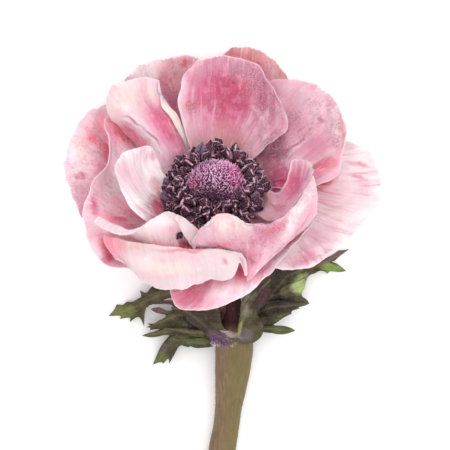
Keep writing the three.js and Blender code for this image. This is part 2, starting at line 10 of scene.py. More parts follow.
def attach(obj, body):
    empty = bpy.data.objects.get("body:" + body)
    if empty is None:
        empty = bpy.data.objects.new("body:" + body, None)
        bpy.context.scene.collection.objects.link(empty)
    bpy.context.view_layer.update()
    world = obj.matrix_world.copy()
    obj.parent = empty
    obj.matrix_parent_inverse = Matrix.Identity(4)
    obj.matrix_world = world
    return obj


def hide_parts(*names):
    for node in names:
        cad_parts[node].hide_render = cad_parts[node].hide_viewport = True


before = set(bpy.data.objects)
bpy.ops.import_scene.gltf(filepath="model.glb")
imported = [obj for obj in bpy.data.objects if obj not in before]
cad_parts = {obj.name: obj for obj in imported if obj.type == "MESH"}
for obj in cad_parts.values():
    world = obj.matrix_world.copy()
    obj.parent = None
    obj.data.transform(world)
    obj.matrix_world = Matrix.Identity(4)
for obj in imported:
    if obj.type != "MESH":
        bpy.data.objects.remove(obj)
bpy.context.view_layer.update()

print("frame loaded")

# Measures, in millimetres. A place on the flower is [right, up, height]: right and up are what the
# camera sees from above, and height is along the bloom's axis from the receptacle's top.

millimetre = 0.001
bloomTilt = math.radians(45)
receptacle = np.array([-1.9, 54.5, 17.5])
toBloomAxis = np.array([0.0, math.sin(bloomTilt), math.cos(bloomTilt)])
clawRadius = 5.35
clawHalfWidth = 1.9
firstClawDrop = 0.6
clawStep = 0.9


def placed(points):
    right, up, height = np.moveaxis(np.asarray(points, float), -1, 0)
    away = height / math.cos(bloomTilt) - up * math.tan(bloomTilt)
    return np.stack([right, up, away], axis=-1) + receptacle


def fromBloom(points):
    # from the bloom's own frame, with +Z along its axis, to millimetres in the model's
    x, y, z = np.moveaxis(np.asarray(points, float), -1, 0)
    c, s = math.cos(bloomTilt), math.sin(bloomTilt)
    return np.stack([x, y * c + z * s, z * c - y * s], axis=-1) + receptacle


def curveThrough(points, fractions):
    # a smooth curve through given points, by fractions of its chord length
    points = np.asarray(points, float)
    steps = np.diff(points, axis=0)
    spans = np.maximum(np.linalg.norm(steps, axis=1), 1e-6)
    knots = np.concatenate([[0.0], np.cumsum(spans)])
    slopes = steps / spans[:, None]
    before, after = spans[:-1, None], spans[1:, None]
    tangents = np.empty_like(points)
    tangents[1:-1] = (slopes[:-1] * after + slopes[1:] * before) / (before + after)
    tangents[0] = 1.5 * slopes[0] - 0.5 * tangents[1]
    tangents[-1] = 1.5 * slopes[-1] - 0.5 * tangents[-2]
    at = np.asarray(fractions) * knots[-1]
    k = np.clip(np.searchsorted(knots, at, side="right") - 1, 0, len(spans) - 1)
    span = spans[k][:, None]
    s = (at - knots[k])[:, None] / span
    return (
        points[k] * ((2 * s - 3) * s * s + 1)
        + tangents[k] * ((s - 2) * s + 1) * s * span
        + points[k + 1] * (3 - 2 * s) * s * s
        + tangents[k + 1] * (s - 1) * s * s * span
    )


def unit(vectors):
    return vectors / np.maximum(np.linalg.norm(vectors, axis=-1, keepdims=True), 1e-9)


def smoothStep(low, high, values):
    # from nought to one, and from one to nought if low is above high
    share = np.clip((np.asarray(values, float) - low) / (high - low), 0, 1)
    return share * share * (3 - 2 * share)


def waves(where, chance, slow, fast, count=5):
    # an uneven ripple about zero, of up to about one in height
    total = 0.0
    for _ in range(count):
        pitch = chance.uniform(slow, fast)
        total = total + np.sin(2 * math.pi * (where * pitch + chance.random()))
    return total / math.sqrt(count) * 0.9


def dents(across, along, chance, size, count=12):
    # uneven hollows and swells of about that size, over two directions in millimetres
    total = 0.0
    for _ in range(count):
        turn = chance.uniform(0, 2 * math.pi)
        pitch = chance.uniform(0.6, 1.5) / size
        phase = chance.uniform(0, 2 * math.pi)
        total = total + np.sin(
            2 * math.pi * pitch * (across * math.cos(turn) + along * math.sin(turn)) + phase
        )
    return total / math.sqrt(count)


def swayed(chance, spread):
    # an uneven push in all three directions
    return np.array([chance.gauss(0, spread) for _ in range(3)])


def bentPath(start, bend, end, count):
    # points on a curve that leaves start towards bend and comes to end from it
    share = np.linspace(0, 1, count)[:, None]
    return start * (1 - share) ** 2 + bend * 2 * share * (1 - share) + end * share ** 2


# Shader maths

def hue(red, green, blue):
    # a screen colour from 0 to 255 to a shader's own scale
    def linear(value):
        share = value / 255
        return share / 12.92 if share <= 0.04045 else ((share + 0.055) / 1.055) ** 2.4
    return (linear(red), linear(green), linear(blue), 1.0)


class Wire:
    # one output of a node. The operators add Math nodes.
    def __init__(self, finish, socket):
        self.finish = finish
        self.socket = socket

    def __add__(self, other):
        return self.finish.maths("ADD", self, other)

    def __radd__(self, other):
        return self.finish.maths("ADD", other, self)

    def __sub__(self, other):
        return self.finish.maths("SUBTRACT", self, other)

    def __rsub__(self, other):
        return self.finish.maths("SUBTRACT", other, self)

    def __mul__(self, other):
        return self.finish.maths("MULTIPLY", self, other)

    def __rmul__(self, other):
        return self.finish.maths("MULTIPLY", other, self)


class Finish:
    # a material, and the nodes that a maker of it needs
    def __init__(self, name):
        self.material = bpy.data.materials.new(name)
        self.material.use_nodes = True
        self.tree = self.material.node_tree
        self.tree.nodes.clear()
        coordinates = self.tree.nodes.new("ShaderNodeTexCoord")
        metres = Wire(self, coordinates.outputs["Object"])
        self.here = self.node(
            "ShaderNodeVectorMath", {"operation": "SCALE"}, {0: metres, "Scale": 1 / millimetre}
        )
        self.spread = Wire(self, coordinates.outputs["UV"])

    def node(self, kind, settings=None, inputs=None, output=0):
        made = self.tree.nodes.new(kind)
        for key, value in (settings or {}).items():
            setattr(made, key, value)
        for key, value in (inputs or {}).items():
            if isinstance(value, Wire):
                self.tree.links.new(value.socket, made.inputs[key])
            else:
                made.inputs[key].default_value = value
        return Wire(self, made.outputs[output]) if made.outputs else made

    def maths(self, operation, first, second):
        return self.node("ShaderNodeMath", {"operation": operation}, {0: first, 1: second})

    def step(self, value, low, high):
        settings = {"interpolation_type": "SMOOTHSTEP"}
        inputs = {0: value, 1: low, 2: high, 3: 0.0, 4: 1.0}
        return self.node("ShaderNodeMapRange", settings, inputs)

    def noise(self, where, scale, detail=3.0, roughness=0.55, output=0):
        inputs = {"Vector": where, "Scale": scale, "Detail": detail, "Roughness": roughness}
        return self.node("ShaderNodeTexNoise", None, inputs, output)

    def cells(self, where, scale):
        inputs = {"Vector": where, "Scale": scale}
        return self.node("ShaderNodeTexVoronoi", None, inputs, "Distance")

    def mix(self, share, first, second):
        # 6, 7 and 2 are the places of the node's colour sockets
        settings = {"data_type": "RGBA", "clamp_factor": True}
        return self.node("ShaderNodeMix", settings, {0: share, 6: first, 7: second}, 2)

    def tinted(self, colour, shade, value, low, high, *shares):
        # lays a shade over the colour as the value goes from low to high, times the shares
        amount = self.step(value, low, high)
        for share in shares:
            amount = amount * share
        return self.mix(amount, colour, shade)

    def shift(self, where, amount):
        return self.node("ShaderNodeVectorMath", {"operation": "ADD"}, {0: where, 1: amount})

    def scaled(self, where, factors):
        return self.node("ShaderNodeVectorMath", {"operation": "MULTIPLY"}, {0: where, 1: factors})

    def warped(self, where, scale, reach):
        # the coordinates, pushed about unevenly by up to about that reach
        push = self.shift(self.noise(where, scale, 2.0, output=1), (-0.5, -0.5, -0.5))
        return self.shift(where, self.scaled(push, (2 * reach, 2 * reach, 2 * reach)))

    def part(self, name):
        return self.node("ShaderNodeAttribute", {"attribute_name": name}, None, "Fac")

    def spot(self, where, right, up, wide, tall, turn=0):
        # one at the middle of an oval seen from above, nought at its border, below nought outside
        settings = {"vector_type": "TEXTURE"}
        location = (receptacle[0] + right, receptacle[1] + up, 0.0)
        farAway = 1000.0  # the oval reaches through the whole height
        inputs = {
            "Vector": where, "Location": location,
            "Rotation": (0.0, 0.0, math.radians(turn)), "Scale": (wide, tall, farAway),
        }
        local = self.node("ShaderNodeMapping", settings, inputs)
        away = self.node("ShaderNodeVectorMath", {"operation": "LENGTH"}, {0: local}, "Value")
        return 1.0 - away

    def within(self, share, where, ovals, uneven=0.0):
        # a share that rises to one inside any of the ovals
        for oval in ovals:
            inside = self.step(self.spot(where, *oval) + uneven, 0.0, 0.6)
            share = self.maths("MAXIMUM", share, inside)
        return share

    def finished(self, colour, roughness, bump=None, bumpDepth=0.1, **constants):
        inputs = {"Base Color": colour, "Roughness": roughness}
        if bump is not None:
            bumpInputs = {"Strength": 1.0, "Distance": bumpDepth * millimetre, "Height": bump}
            inputs["Normal"] = self.node("ShaderNodeBump", None, bumpInputs)
        inputs.update({key.replace("_", " "): value for key, value in constants.items()})
        shader = self.node("ShaderNodeBsdfPrincipled", None, inputs)
        self.node("ShaderNodeOutputMaterial", None, {"Surface": shader})
        return self.material


# Colours as seen in even light

shades = {
    "cream": hue(240, 224, 218),
    "milk": hue(252, 240, 242),
    "blush": hue(246, 212, 224),
    "shell": hue(238, 192, 208),
    "salmon": hue(228, 174, 172),
    "tan": hue(216, 158, 158),
    "lilac": hue(226, 186, 206),
    "rose": hue(220, 120, 156),
    "coral": hue(226, 108, 126),
    "deep": hue(196, 66, 104),
    "magenta": hue(202, 54, 118),
    "wine": hue(104, 26, 50),
    "dusk": hue(160, 96, 118),
    "brick": hue(160, 44, 60),
    "mauve": hue(206, 146, 170),
    # peach and flush are bright pinks, laid also in shaded hollows and slits to lighten them:
    # painted light there
    "peach": hue(255, 204, 212),
    "chalk": hue(230, 211, 214),
    "flush": hue(250, 146, 170),
}

# Petals. Rows run from the claw to the tip, and a row's points clockwise as the camera sees them.
# turn and level place the claw on the receptacle. ruffle and rag are the depths of the margin's
# waves and of its ragged edge, and reach is how far the tip grows past its last row. Places and
# widths on a petal are shares of it: notches cut into the tip (where, half width, depth, lean),
# curls raise a spot (across, along, wide, long, height), rolls curl a side over (side, share,
# degrees, end), and a fold lays the right side back over the inner face (start, end, flap, rise).
# specks, veins and uneven are strengths of a face's marks. An oval is right, up, wide, tall, turn.
# Specks crowd in the patches. Painted light: shaded recesses keep a face's full colour and the rest
# is dimmed.
# inner and outer are the two faces: a ground colour, and washes over it of shade, oval, strength.

petals = {
    "petal_back_inner": {
        "turn": 180, "level": 0, "slot": "petal_deep",
        "rows": [
            [[-5.2, 10.2, 3.2], [0.5, 9.2, 1.0], [7.0, 9.4, 3.4]],
            [[-8.0, 18.3, 9.5], [1.5, 17.3, 5.6], [13.4, 14.8, 7.6]],
            [[-10.1, 27.0, 16.5], [2.5, 27.0, 12.8], [11.5, 25.0, 12.6], [19.4, 20.8, 12.8]],
            [[-8.6, 34.0, 21.5], [-3.5, 38.4, 23.8], [3.5, 38.8, 24.2], [9.6, 37.6, 23.0],
             [14.5, 31.6, 19.5], [17.8, 26.0, 15.8]],
        ],
        "ruffle": 0.45, "rag": 0.3, "reach": 0.4, "specks": 1.15, "veins": 0.5,
        "patches": [
            (14.0, 26.5, 6.5, 9.0, 20), (9.0, 33.0, 8.0, 4.0, -20), (-6.0, 26.0, 3.0, 4.0, 0),
            (14.0, 17.0, 6.0, 6.0, 0), (2.0, 14.5, 12.0, 3.0, 0),
        ],
        "inner": ("shell", [
            ("rose", 3.0, 27.0, 17.0, 19.0, 0, 0.75), ("rose", -3.0, 30.5, 8.5, 8.0, 0, 0.5),
            ("deep", 4.0, 29.0, 12.0, 11.0, 0, 0.85), ("magenta", 6.5, 27.0, 5.5, 6.5, 0, 0.35),
            ("magenta", -2.0, 31.0, 5.5, 4.5, 20, 0.3), ("coral", 7.5, 31.0, 3.4, 3.0, 0, 0.6),
            ("coral", -6.0, 26.6, 4.6, 2.0, 15, 0.7), ("salmon", 1.0, 13.5, 14.0, 9.5, 0, 0.9),
            ("coral", 3.5, 18.0, 5.0, 6.5, 0, 0.35), ("mauve", 6.0, 37.4, 12.0, 4.4, -6, 0.9),
            ("mauve", 14.0, 29.0, 7.0, 10.0, 25, 0.7), ("magenta", 12.6, 26.5, 5.5, 7.0, 25, 0.35),
            ("milk", -9.8, 26.0, 2.6, 14.0, 4, 0.6), ("mauve", -3.6, 36.4, 4.0, 3.0, 40, 0.6),
            ("dusk", 15.5, 15.5, 5.0, 4.5, -40, 0.6), ("rose", 16.0, 20.0, 4.0, 5.0, 0, 0.5),
            ("milk", 11.6, 24.0, 1.2, 6.0, 30, 0.3),
        ]),
        "outer": ("shell", [("rose", 2.0, 30.0, 9.0, 9.0, 0, 0.5)]),
    },
    "petal_back_right": {
        "turn": 140, "level": 1, "slot": "petal_pink",
        "rows": [
            [[4.0, 9.2, -0.2], [7.8, 7.4, -0.5], [11.4, 3.6, 0.0]],
            [[6.5, 18.5, 5.0], [13.4, 14.2, 4.8], [20.4, 3.6, 4.8]],
            [[9.0, 27.5, 11.5], [18.5, 23.6, 11.4], [25.8, 15.4, 10.0], [28.0, 5.4, 10.0]],
            [[14.5, 33.0, 16.6], [22.0, 32.9, 19.0], [29.6, 29.8, 19.6], [34.0, 22.6, 17.6],
             [34.2, 14.0, 14.2], [32.2, 7.6, 11.4]],
        ],
        "ruffle": 0.6, "rag": 0.3, "specks": 1.15, "veins": 0.5,
        "rolls": [("right", 0.05, 140, 0.8)],
        "patches": [(16.5, 14.0, 7.0, 6.0, -40), (28.0, 24.0, 7.0, 7.0, 0),
                    (22.0, 20.0, 6.0, 6.0, 0), (32.0, 20.0, 2.0, 10.0, 5)],
        "inner": ("shell", [
            ("blush", 26.0, 27.5, 11.0, 7.0, -20, 0.9), ("lilac", 22.0, 26.0, 5.0, 4.0, 0, 0.7),
            ("blush", 31.0, 16.0, 3.0, 8.0, 0, 0.8), ("milk", 32.0, 22.0, 2.4, 8.0, 8, 0.6),
            ("rose", 20.5, 21.5, 6.0, 6.0, 30, 0.6), ("blush", 24.0, 23.0, 12.0, 12.0, 0, 0.4),
            ("tan", 33.6, 20.0, 1.0, 9.0, 6, 0.8), ("rose", 27.0, 15.0, 8.0, 5.0, 30, 0.65),
            ("salmon", 11.5, 11.0, 6.0, 5.5, 0, 0.75), ("dusk", 15.6, 13.5, 7.5, 6.0, -40, 0.9),
            ("wine", 15.6, 13.0, 3.8, 3.0, -40, 0.45), ("deep", 17.0, 18.0, 3.5, 3.5, 0, 0.4),
            # magenta at (17.6, 5.4): deep pink, partly painted shade of the face beside the stamens
            ("coral", 28.5, 9.8, 7.0, 2.6, 18, 0.95), ("magenta", 17.6, 5.4, 6.4, 7.6, 0, 1.0),
            ("deep", 15.0, 10.0, 5.0, 4.0, -40, 0.5), ("deep", 23.0, 7.4, 6.5, 4.0, 20, 0.7),
            # the crease at (21.3, 15.6) and (22.2, 14.8): a dark line and a pale line beside it,
            # painted shade and painted highlight of its ridge
            ("deep", 21.3, 15.6, 0.5, 10.5, -43, 0.8), ("milk", 22.2, 14.8, 0.5, 9.5, -43, 0.5),
            ("brick", 27.8, 22.2, 1.2, 1.2, 0, 0.8),
        ]),
        "outer": ("milk", [("blush", 25.0, 20.0, 9.0, 9.0, 0, 0.5)]),
    },
    "petal_right_inner": {
        "turn": 95, "level": 0, "slot": "petal_deep",
        "rows": [
            [[10.1, 4.0, 2.9], [11.2, 0.6, 1.5], [10.4, -3.0, 2.1]],
            [[17.4, 3.4, 9.6], [17.6, 0.2, 7.6], [15.5, -4.6, 6.6]],
            [[18.9, 6.6, 13.6], [21.2, 4.2, 12.2], [19.4, -2.0, 10.8]],
            [[20.0, 11.3, 17.0], [22.8, 11.4, 17.0], [25.0, 10.4, 16.4], [25.8, 8.4, 15.2]],
        ],
        "ruffle": 0.2, "rag": 0.15, "specks": 1.0, "veins": 0.5,
        "hollows": [(15.0, -1.0, 11.0, 13.0, 0)],
        "patches": [(20.0, -2.0, 4.0, 5.0, -30)],
        "inner": ("shell", [
            ("rose", 21.6, 5.0, 5.0, 9.0, -16, 0.95), ("deep", 20.6, 4.6, 2.6, 6.5, -20, 0.5),
            # peach at (14.0, 0.0) lightens the shaded base of the petal: painted light
            ("rose", 17.0, -1.0, 5.5, 5.5, -30, 0.6), ("peach", 14.0, 0.0, 4.4, 4.0, 0, 0.9),
            ("salmon", 13.5, -4.4, 4.5, 2.5, 0, 0.7), ("coral", 16.0, -5.6, 4.0, 1.4, 25, 0.6),
            ("cream", 25.0, 9.6, 1.2, 2.6, 10, 0.9),
        ]),
        "outer": ("milk", [("rose", 21.0, 4.0, 3.0, 6.0, 0, 0.3)]),
    },
    "petal_front_right": {
        "turn": 40, "level": 2, "slot": "petal_pale",
        "rows": [
            [[12.0, -2.0, -0.2], [8.5, -6.6, -1.0], [2.5, -8.6, -0.8]],
            [[22.5, -3.0, 8.0], [16.0, -9.6, 6.6], [7.5, -12.0, 6.0], [-1.8, -12.0, 5.8]],
            [[25.8, 7.2, 14.2], [20.4, -1.6, 13.8], [14.4, -5.6, 13.6], [8.0, -5.4, 13.8],
             [2.4, -3.0, 15.4], [-5.6, -9.0, 12.2]],
            [[26.8, 3.0, 12.2], [22.8, -3.6, 11.4], [16.5, -8.6, 10.2], [10.2, -9.6, 10.0],
             [4.0, -9.0, 11.0], [-6.4, -10.6, 10.2]],
            [[27.0, -2.6, 9.6], [21.8, -8.2, 7.4], [17.6, -12.2, 5.4], [13.0, -16.2, 3.4],
             [8.4, -20.4, 1.6], [7.6, -14.3, 5.8], [3.4, -12.3, 7.8], [-4.4, -11.6, 8.8]],
        ],
        "ruffle": 0.22, "rag": 0.2, "specks": 1.0, "veins": 0.4,
        "hollows": [(1.0, -12.4, 9.5, 1.8, 2), (14.0, 2.0, 6.0, 8.0, 0)],
        "patches": [
            (12.0, -9.0, 7.5, 7.5, 35), (7.0, -11.5, 6.0, 3.0, 0), (9.6, -15.0, 3.0, 4.0, 0),
            (24.0, 4.0, 3.0, 7.0, -20), (17.0, -5.0, 6.0, 3.0, 35),
        ],
        "inner": ("shell", [
            ("cream", 3.5, -6.0, 9.5, 5.0, 0, 0.95), ("shell", 4.0, -10.0, 9.0, 3.6, 0, 0.8),
            ("salmon", 4.5, -9.0, 8.5, 4.2, 0, 0.34), ("rose", 13.0, -8.6, 6.0, 4.5, 35, 0.8),
            ("coral", 15.5, -6.4, 5.0, 1.4, 25, 0.75), ("rose", 10.0, -14.5, 3.0, 4.5, 20, 0.7),
            ("milk", 21.5, -2.6, 2.2, 13.0, -32, 0.95), ("coral", 23.4, -5.6, 0.6, 6.0, -42, 0.6),
            # flush at (6.6, -18.0) and (1.0, -11.6) lightens the shaded slit and the shaded gap
            # above the front low left petal: painted light
            ("rose", 16.6, -13.0, 1.5, 6.0, -45, 0.6), ("flush", 6.6, -18.0, 4.4, 5.0, 0, 1.0),
            ("deep", 8.2, -13.2, 3.6, 3.8, -20, 0.5), ("milk", 3.0, -5.0, 5.0, 2.0, 20, 0.5),
            ("brick", 9.6, -15.2, 0.7, 1.4, 0, 0.6), ("flush", 1.0, -11.6, 8.5, 1.5, 2, 1.0),
        ]),
        "outer": ("blush", [
            # flush at (6.6, -18.0) lightens the shaded slit: painted light
            ("rose", 14.0, -6.0, 8.0, 4.0, 0, 0.6), ("flush", 6.6, -18.0, 4.4, 5.0, 0, 1.0),
        ]),
    },
    "petal_front_left": {
        "turn": -40, "level": 1, "slot": "petal_pale",
        "rows": [
            [[-3.4, -8.8, 0.6], [-8.0, -8.4, 0.4], [-12.2, -4.6, 1.2]],
            [[-3.6, -12.4, 3.6], [-11.0, -12.6, 4.0], [-18.5, -10.8, 4.4], [-24.0, -7.2, 5.6]],
            [[-3.2, -10.8, 5.4], [-9.5, -9.8, 6.4], [-18.5, -9.4, 6.8], [-27.5, -7.2, 7.6]],
            [[-3.7, -8.4, 8.4], [-6.2, -6.2, 10.4], [-10.4, -3.2, 12.8], [-12.8, -2.7, 13.2],
             [-17.2, -4.7, 11.8], [-22.2, -7.3, 10.0], [-27.0, -6.2, 9.8], [-31.4, -3.8, 11.8]],
            [[-5.6, -12.4, 6.6], [-8.2, -9.0, 8.8], [-10.6, -5.4, 11.6], [-13.2, -4.6, 11.8],
             [-17.6, -6.6, 10.4], [-22.6, -8.9, 9.0], [-27.6, -7.8, 9.4], [-32.4, -5.2, 11.2]],
        ],
        "ruffle": 0.12, "rag": 0.12, "specks": 0.3, "veins": 0.3,
        "notches": [(0.47, 0.17, 2.4, 0)],
        "hollows": [(-14.0, -9.0, 13.0, 6.0, 0)],
        "patches": [(-12.0, -8.0, 4.0, 3.0, 0)],
        "inner": ("chalk", [
            ("blush", -20.0, -6.0, 8.0, 2.0, 0, 0.4), ("shell", -12.0, -4.6, 3.0, 1.2, 0, 0.3),
            ("coral", -10.0, -11.0, 5.0, 2.0, 0, 0.5),
        ]),
        "outer": ("milk", [
            # peach and flush at (-16, -8) and (-17, -12) lighten the shaded hollow behind the front
            # low left petal: painted light
            ("peach", -16.0, -8.0, 9.0, 4.0, 0, 0.6), ("flush", -17.0, -12.0, 14.0, 2.4, 3, 0.8),
            # coral, brick, deep and wine near (-8.5, -11) darken the cavity: partly its deep colour
            # and partly painted shade
            ("rose", -11.0, -7.6, 3.6, 3.0, 0, 0.5), ("coral", -9.0, -12.2, 6.0, 3.0, 0, 1.0),
            ("brick", -7.0, -12.0, 3.6, 1.6, 0, 0.7), ("deep", -8.4, -10.0, 2.6, 2.6, 0, 0.8),
            ("wine", -9.6, -8.6, 1.4, 0.9, 0, 0.9), ("wine", -7.6, -11.0, 2.6, 1.4, -20, 0.7),
        ]),
    },
    "petal_left_inner": {
        "turn": -85, "level": 0, "slot": "petal_pale",
        "rows": [
            [[-12.0, -4.4, 3.4], [-12.0, 0.0, 1.4], [-11.4, 4.6, 3.0]],
            [[-15.9, -3.7, 10.8], [-17.5, 3.0, 6.6], [-14.6, 9.2, 8.4]],
            [[-21.2, 0.4, 14.4], [-22.6, 6.6, 12.8], [-19.5, 11.6, 12.6], [-15.5, 11.6, 10.8]],
            [[-24.8, 5.0, 16.2], [-26.8, 9.6, 17.4], [-24.8, 13.0, 17.4], [-20.4, 14.7, 15.6],
             [-17.2, 14.9, 13.4], [-15.8, 12.8, 11.6]],
        ],
        "ruffle": 0.25, "rag": 0.15, "specks": 0.4, "veins": 0.4,
        "rolls": [("left", 0.22, -70, 1.2)],
        "patches": [],
        "inner": ("milk", [
            ("blush", -23.0, 8.0, 5.0, 9.0, 20, 0.9), ("lilac", -26.0, 8.5, 3.0, 7.0, 20, 0.5),
            ("dusk", -15.4, -2.0, 5.0, 6.0, 0, 0.9), ("deep", -15.2, -0.4, 2.8, 5.4, 0, 0.85),
            ("wine", -14.2, -1.4, 1.6, 3.4, 0, 0.5), ("coral", -16.4, 4.6, 2.2, 3.6, 0, 0.5),
            ("lilac", -17.6, 12.6, 4.0, 2.6, 0, 0.7), ("rose", -16.2, 12.0, 1.6, 2.6, 0, 0.4),
            ("rose", -20.4, -1.5, 3.4, 0.9, -40, 0.4),
        ]),
        "outer": ("milk", [("blush", -20.0, 3.0, 4.0, 7.0, 30, 0.4)]),
    },
    "petal_left_upper": {
        "turn": -135, "level": 1, "slot": "petal_pink",
        "rows": [
            [[-15.0, 6.2, 1.6], [-12.6, 8.2, 3.2], [-9.0, 8.4, 0.6], [-5.0, 9.6, 1.2]],
            [[-19.5, 13.0, 5.0], [-15.9, 15.2, 8.0], [-11.5, 14.6, 5.6], [-6.8, 15.4, 5.0]],
            [[-24.6, 19.2, 10.0], [-20.6, 20.6, 13.2], [-15.4, 21.6, 11.8], [-12.0, 21.6, 12.0],
             [-9.3, 20.4, 9.6]],
            [[-27.8, 22.4, 13.8], [-25.6, 23.6, 16.6], [-20.0, 28.4, 17.6], [-15.2, 27.0, 16.8],
             [-12.8, 26.2, 15.2]],
            [[-29.0, 23.8, 15.8], [-29.3, 27.6, 18.4], [-28.3, 30.4, 19.8], [-24.4, 32.3, 21.0],
             [-19.5, 33.4, 21.6], [-16.2, 33.2, 21.2], [-15.4, 29.4, 19.4]],
        ],
        "ruffle": 0.3, "rag": 0.2, "specks": 0.8, "veins": 0.5,
        "fold": (0.36, 1.0, 4.0, 1.0),
        "hollows": [(-13.0, 20.0, 6.0, 14.0, 26)],
        "patches": [(-22.5, 17.0, 5.0, 4.0, -35)],
        "inner": ("blush", [
            # coral, rose and flush along the lower left fold are partly the flap's pink and partly
            # painted shade of the fold; milk at (-21.5, 22.6) is a painted highlight along the
            # ridge
            ("coral", -23.6, 17.8, 3.4, 10.0, 52, 0.9), ("rose", -21.0, 16.6, 3.0, 8.0, 48, 0.6),
            ("cream", -24.5, 27.5, 9.5, 9.0, 0, 0.9), ("milk", -21.5, 22.6, 9.0, 1.4, -40, 0.9),
            ("rose", -13.4, 21.0, 6.0, 15.0, 26, 0.95), ("deep", -12.0, 19.6, 3.0, 12.0, 28, 0.35),
            ("rose", -16.0, 26.0, 2.0, 6.0, 16, 0.7), ("blush", -19.0, 21.4, 2.4, 8.0, 38, 0.7),
            ("cream", -16.4, 29.4, 3.0, 5.0, 20, 0.8), ("lilac", -14.0, 12.6, 3.5, 5.0, 0, 0.6),
            ("rose", -10.0, 13.0, 2.4, 5.0, 0, 0.5), ("flush", -21.0, 17.6, 6.4, 2.0, -38, 0.8),
            # thin deep lines: painted shadow under the rolled margin; thin milk lines: painted
            # highlight along its edge
            ("deep", -21.9, 21.6, 5.0, 0.5, -22, 0.7), ("deep", -17.0, 17.9, 4.0, 0.5, -50, 0.7),
            ("milk", -22.2, 20.9, 5.0, 0.5, -22, 1.0), ("milk", -17.5, 17.4, 4.0, 0.5, -50, 1.0),
            ("milk", -15.2, 13.6, 2.6, 0.5, -66, 1.0),
        ]),
        "outer": ("cream", [
            ("coral", -24.0, 18.0, 1.9, 6.0, 46, 0.95), ("rose", -22.5, 16.4, 3.0, 6.0, 46, 0.7),
            ("blush", -24.6, 13.5, 3.5, 4.0, 0, 0.6),
        ]),
    },
    "petal_back_left": {
        "turn": -160, "level": 3, "slot": "petal_pink",
        "rows": [
            [[-9.4, 8.6, -1.4], [-4.6, 9.6, -1.8], [1.0, 10.2, -1.6]],
            [[-18.6, 18.6, 3.6], [-8.0, 19.6, 4.4], [1.5, 19.4, 3.6]],
            [[-23.0, 26.6, 9.6], [-12.0, 29.6, 11.8], [-1.0, 29.6, 10.8]],
            [[-24.6, 31.6, 14.4], [-19.4, 36.6, 17.8], [-13.0, 38.2, 18.6], [-7.4, 39.0, 18.8],
             [-2.0, 36.6, 17.0]],
        ],
        "ruffle": 0.5, "rag": 0.3, "reach": 0.8, "specks": 0.8, "veins": 0.5,
        "patches": [(-11.0, 32.0, 6.0, 9.0, 0), (-9.0, 38.0, 3.0, 2.0, 0)],
        "inner": ("shell", [
            ("tan", -11.4, 33.4, 6.0, 7.5, 0, 0.7), ("coral", -12.6, 32.0, 3.6, 7.0, 20, 0.5),
            ("coral", -8.3, 38.2, 2.4, 2.0, 0, 0.9), ("rose", -11.4, 26.0, 3.4, 8.0, 10, 0.8),
            ("brick", -11.5, 33.0, 0.9, 4.5, -30, 0.5), ("coral", -22.8, 31.0, 4.0, 2.0, 30, 0.6),
            ("rose", -13.6, 30.0, 2.0, 5.0, 20, 0.6), ("milk", -18.4, 35.0, 7.0, 5.4, 35, 1.0),
        ]),
        "outer": ("blush", [("tan", -12.0, 30.0, 8.0, 8.0, 0, 0.5)]),
    },
    "petal_front_low_left": {
        "turn": -20, "level": 3, "slot": "petal_pale",
        "rows": [
            [[1.5, -9.6, -2.6], [-4.5, -9.6, -2.4], [-9.5, -6.8, -1.6]],
            [[4.5, -16.8, 1.6], [-7.0, -18.0, 2.0], [-20.0, -12.6, 2.2]],
            [[6.9, -13.6, 8.8], [1.5, -12.7, 10.3], [-5.0, -12.6, 10.5], [-12.0, -11.9, 10.3],
             [-19.0, -11.2, 9.8], [-24.2, -10.8, 8.8], [-29.8, -8.8, 7.0]],
            [[7.9, -15.6, 6.6], [1.5, -16.0, 9.2], [-8.0, -16.4, 9.4], [-18.0, -15.4, 8.6],
             [-24.4, -13.6, 7.2], [-29.4, -10.8, 6.4]],
            [[8.1, -19.6, 2.8], [3.0, -19.4, 4.8], [-1.5, -20.4, 4.8], [-7.0, -22.4, 4.2],
             [-15.0, -22.8, 3.6], [-20.5, -19.8, 4.4], [-24.0, -16.4, 5.2], [-26.6, -15.0, 5.4]],
        ],
        "ruffle": 0.2, "rag": 0.35, "specks": 0.3, "veins": 0.2, "uneven": 0.4,
        "notches": [(0.112, 0.036, 4.9, 0.075)],
        "curls": [(0.18, 0.97, 0.04, 0.12, 1.5)],
        "patches": [(-24.0, -17.0, 3.0, 2.0, 0)],
        "inner": ("chalk", [
            ("coral", -6.0, -12.5, 15.0, 1.0, 1, 0.7), ("coral", -29.0, -11.0, 8.5, 7.5, 8, 0.6),
            ("flush", -29.6, -11.5, 8.5, 9.0, 8, 0.85), ("salmon", -22.0, -12.0, 7.0, 4.0, 10, 0.5),
            ("milk", -19.0, -15.5, 6.0, 4.0, -20, 0.4), ("shell", -14.0, -19.5, 14.0, 1.6, -8, 0.5),
            ("shell", -9.0, -14.4, 10.0, 1.8, 4, 0.5), ("cream", -13.0, -17.5, 9.0, 3.0, 0, 0.6),
            ("rose", 2.4, -15.6, 1.6, 2.2, 20, 0.7), ("blush", -6.0, -20.5, 6.0, 1.8, -6, 0.6),
            ("coral", -24.0, -17.0, 2.4, 1.6, 30, 0.5), ("rose", 7.4, -16.4, 1.0, 3.4, 0, 0.5),
        ]),
        "outer": ("shell", [
            # flush on the outer face lightens the shaded slit and the shaded hollow under the front
            # left petal: painted light
            ("flush", 5.0, -17.5, 4.0, 5.0, 0, 1.0), ("flush", -10.0, -12.0, 12.0, 3.0, 0, 0.8),
        ]),
    },
    "petal_back_low": {
        "turn": 165, "level": 4, "slot": "petal_pink",
        "rows": [
            [[-2.4, 10.2, -2.8], [3.8, 10.4, -2.8], [9.6, 8.6, -2.6]],
            [[-4.5, 20.6, 2.6], [7.0, 20.4, 2.15], [17.6, 16.4, 1.6]],
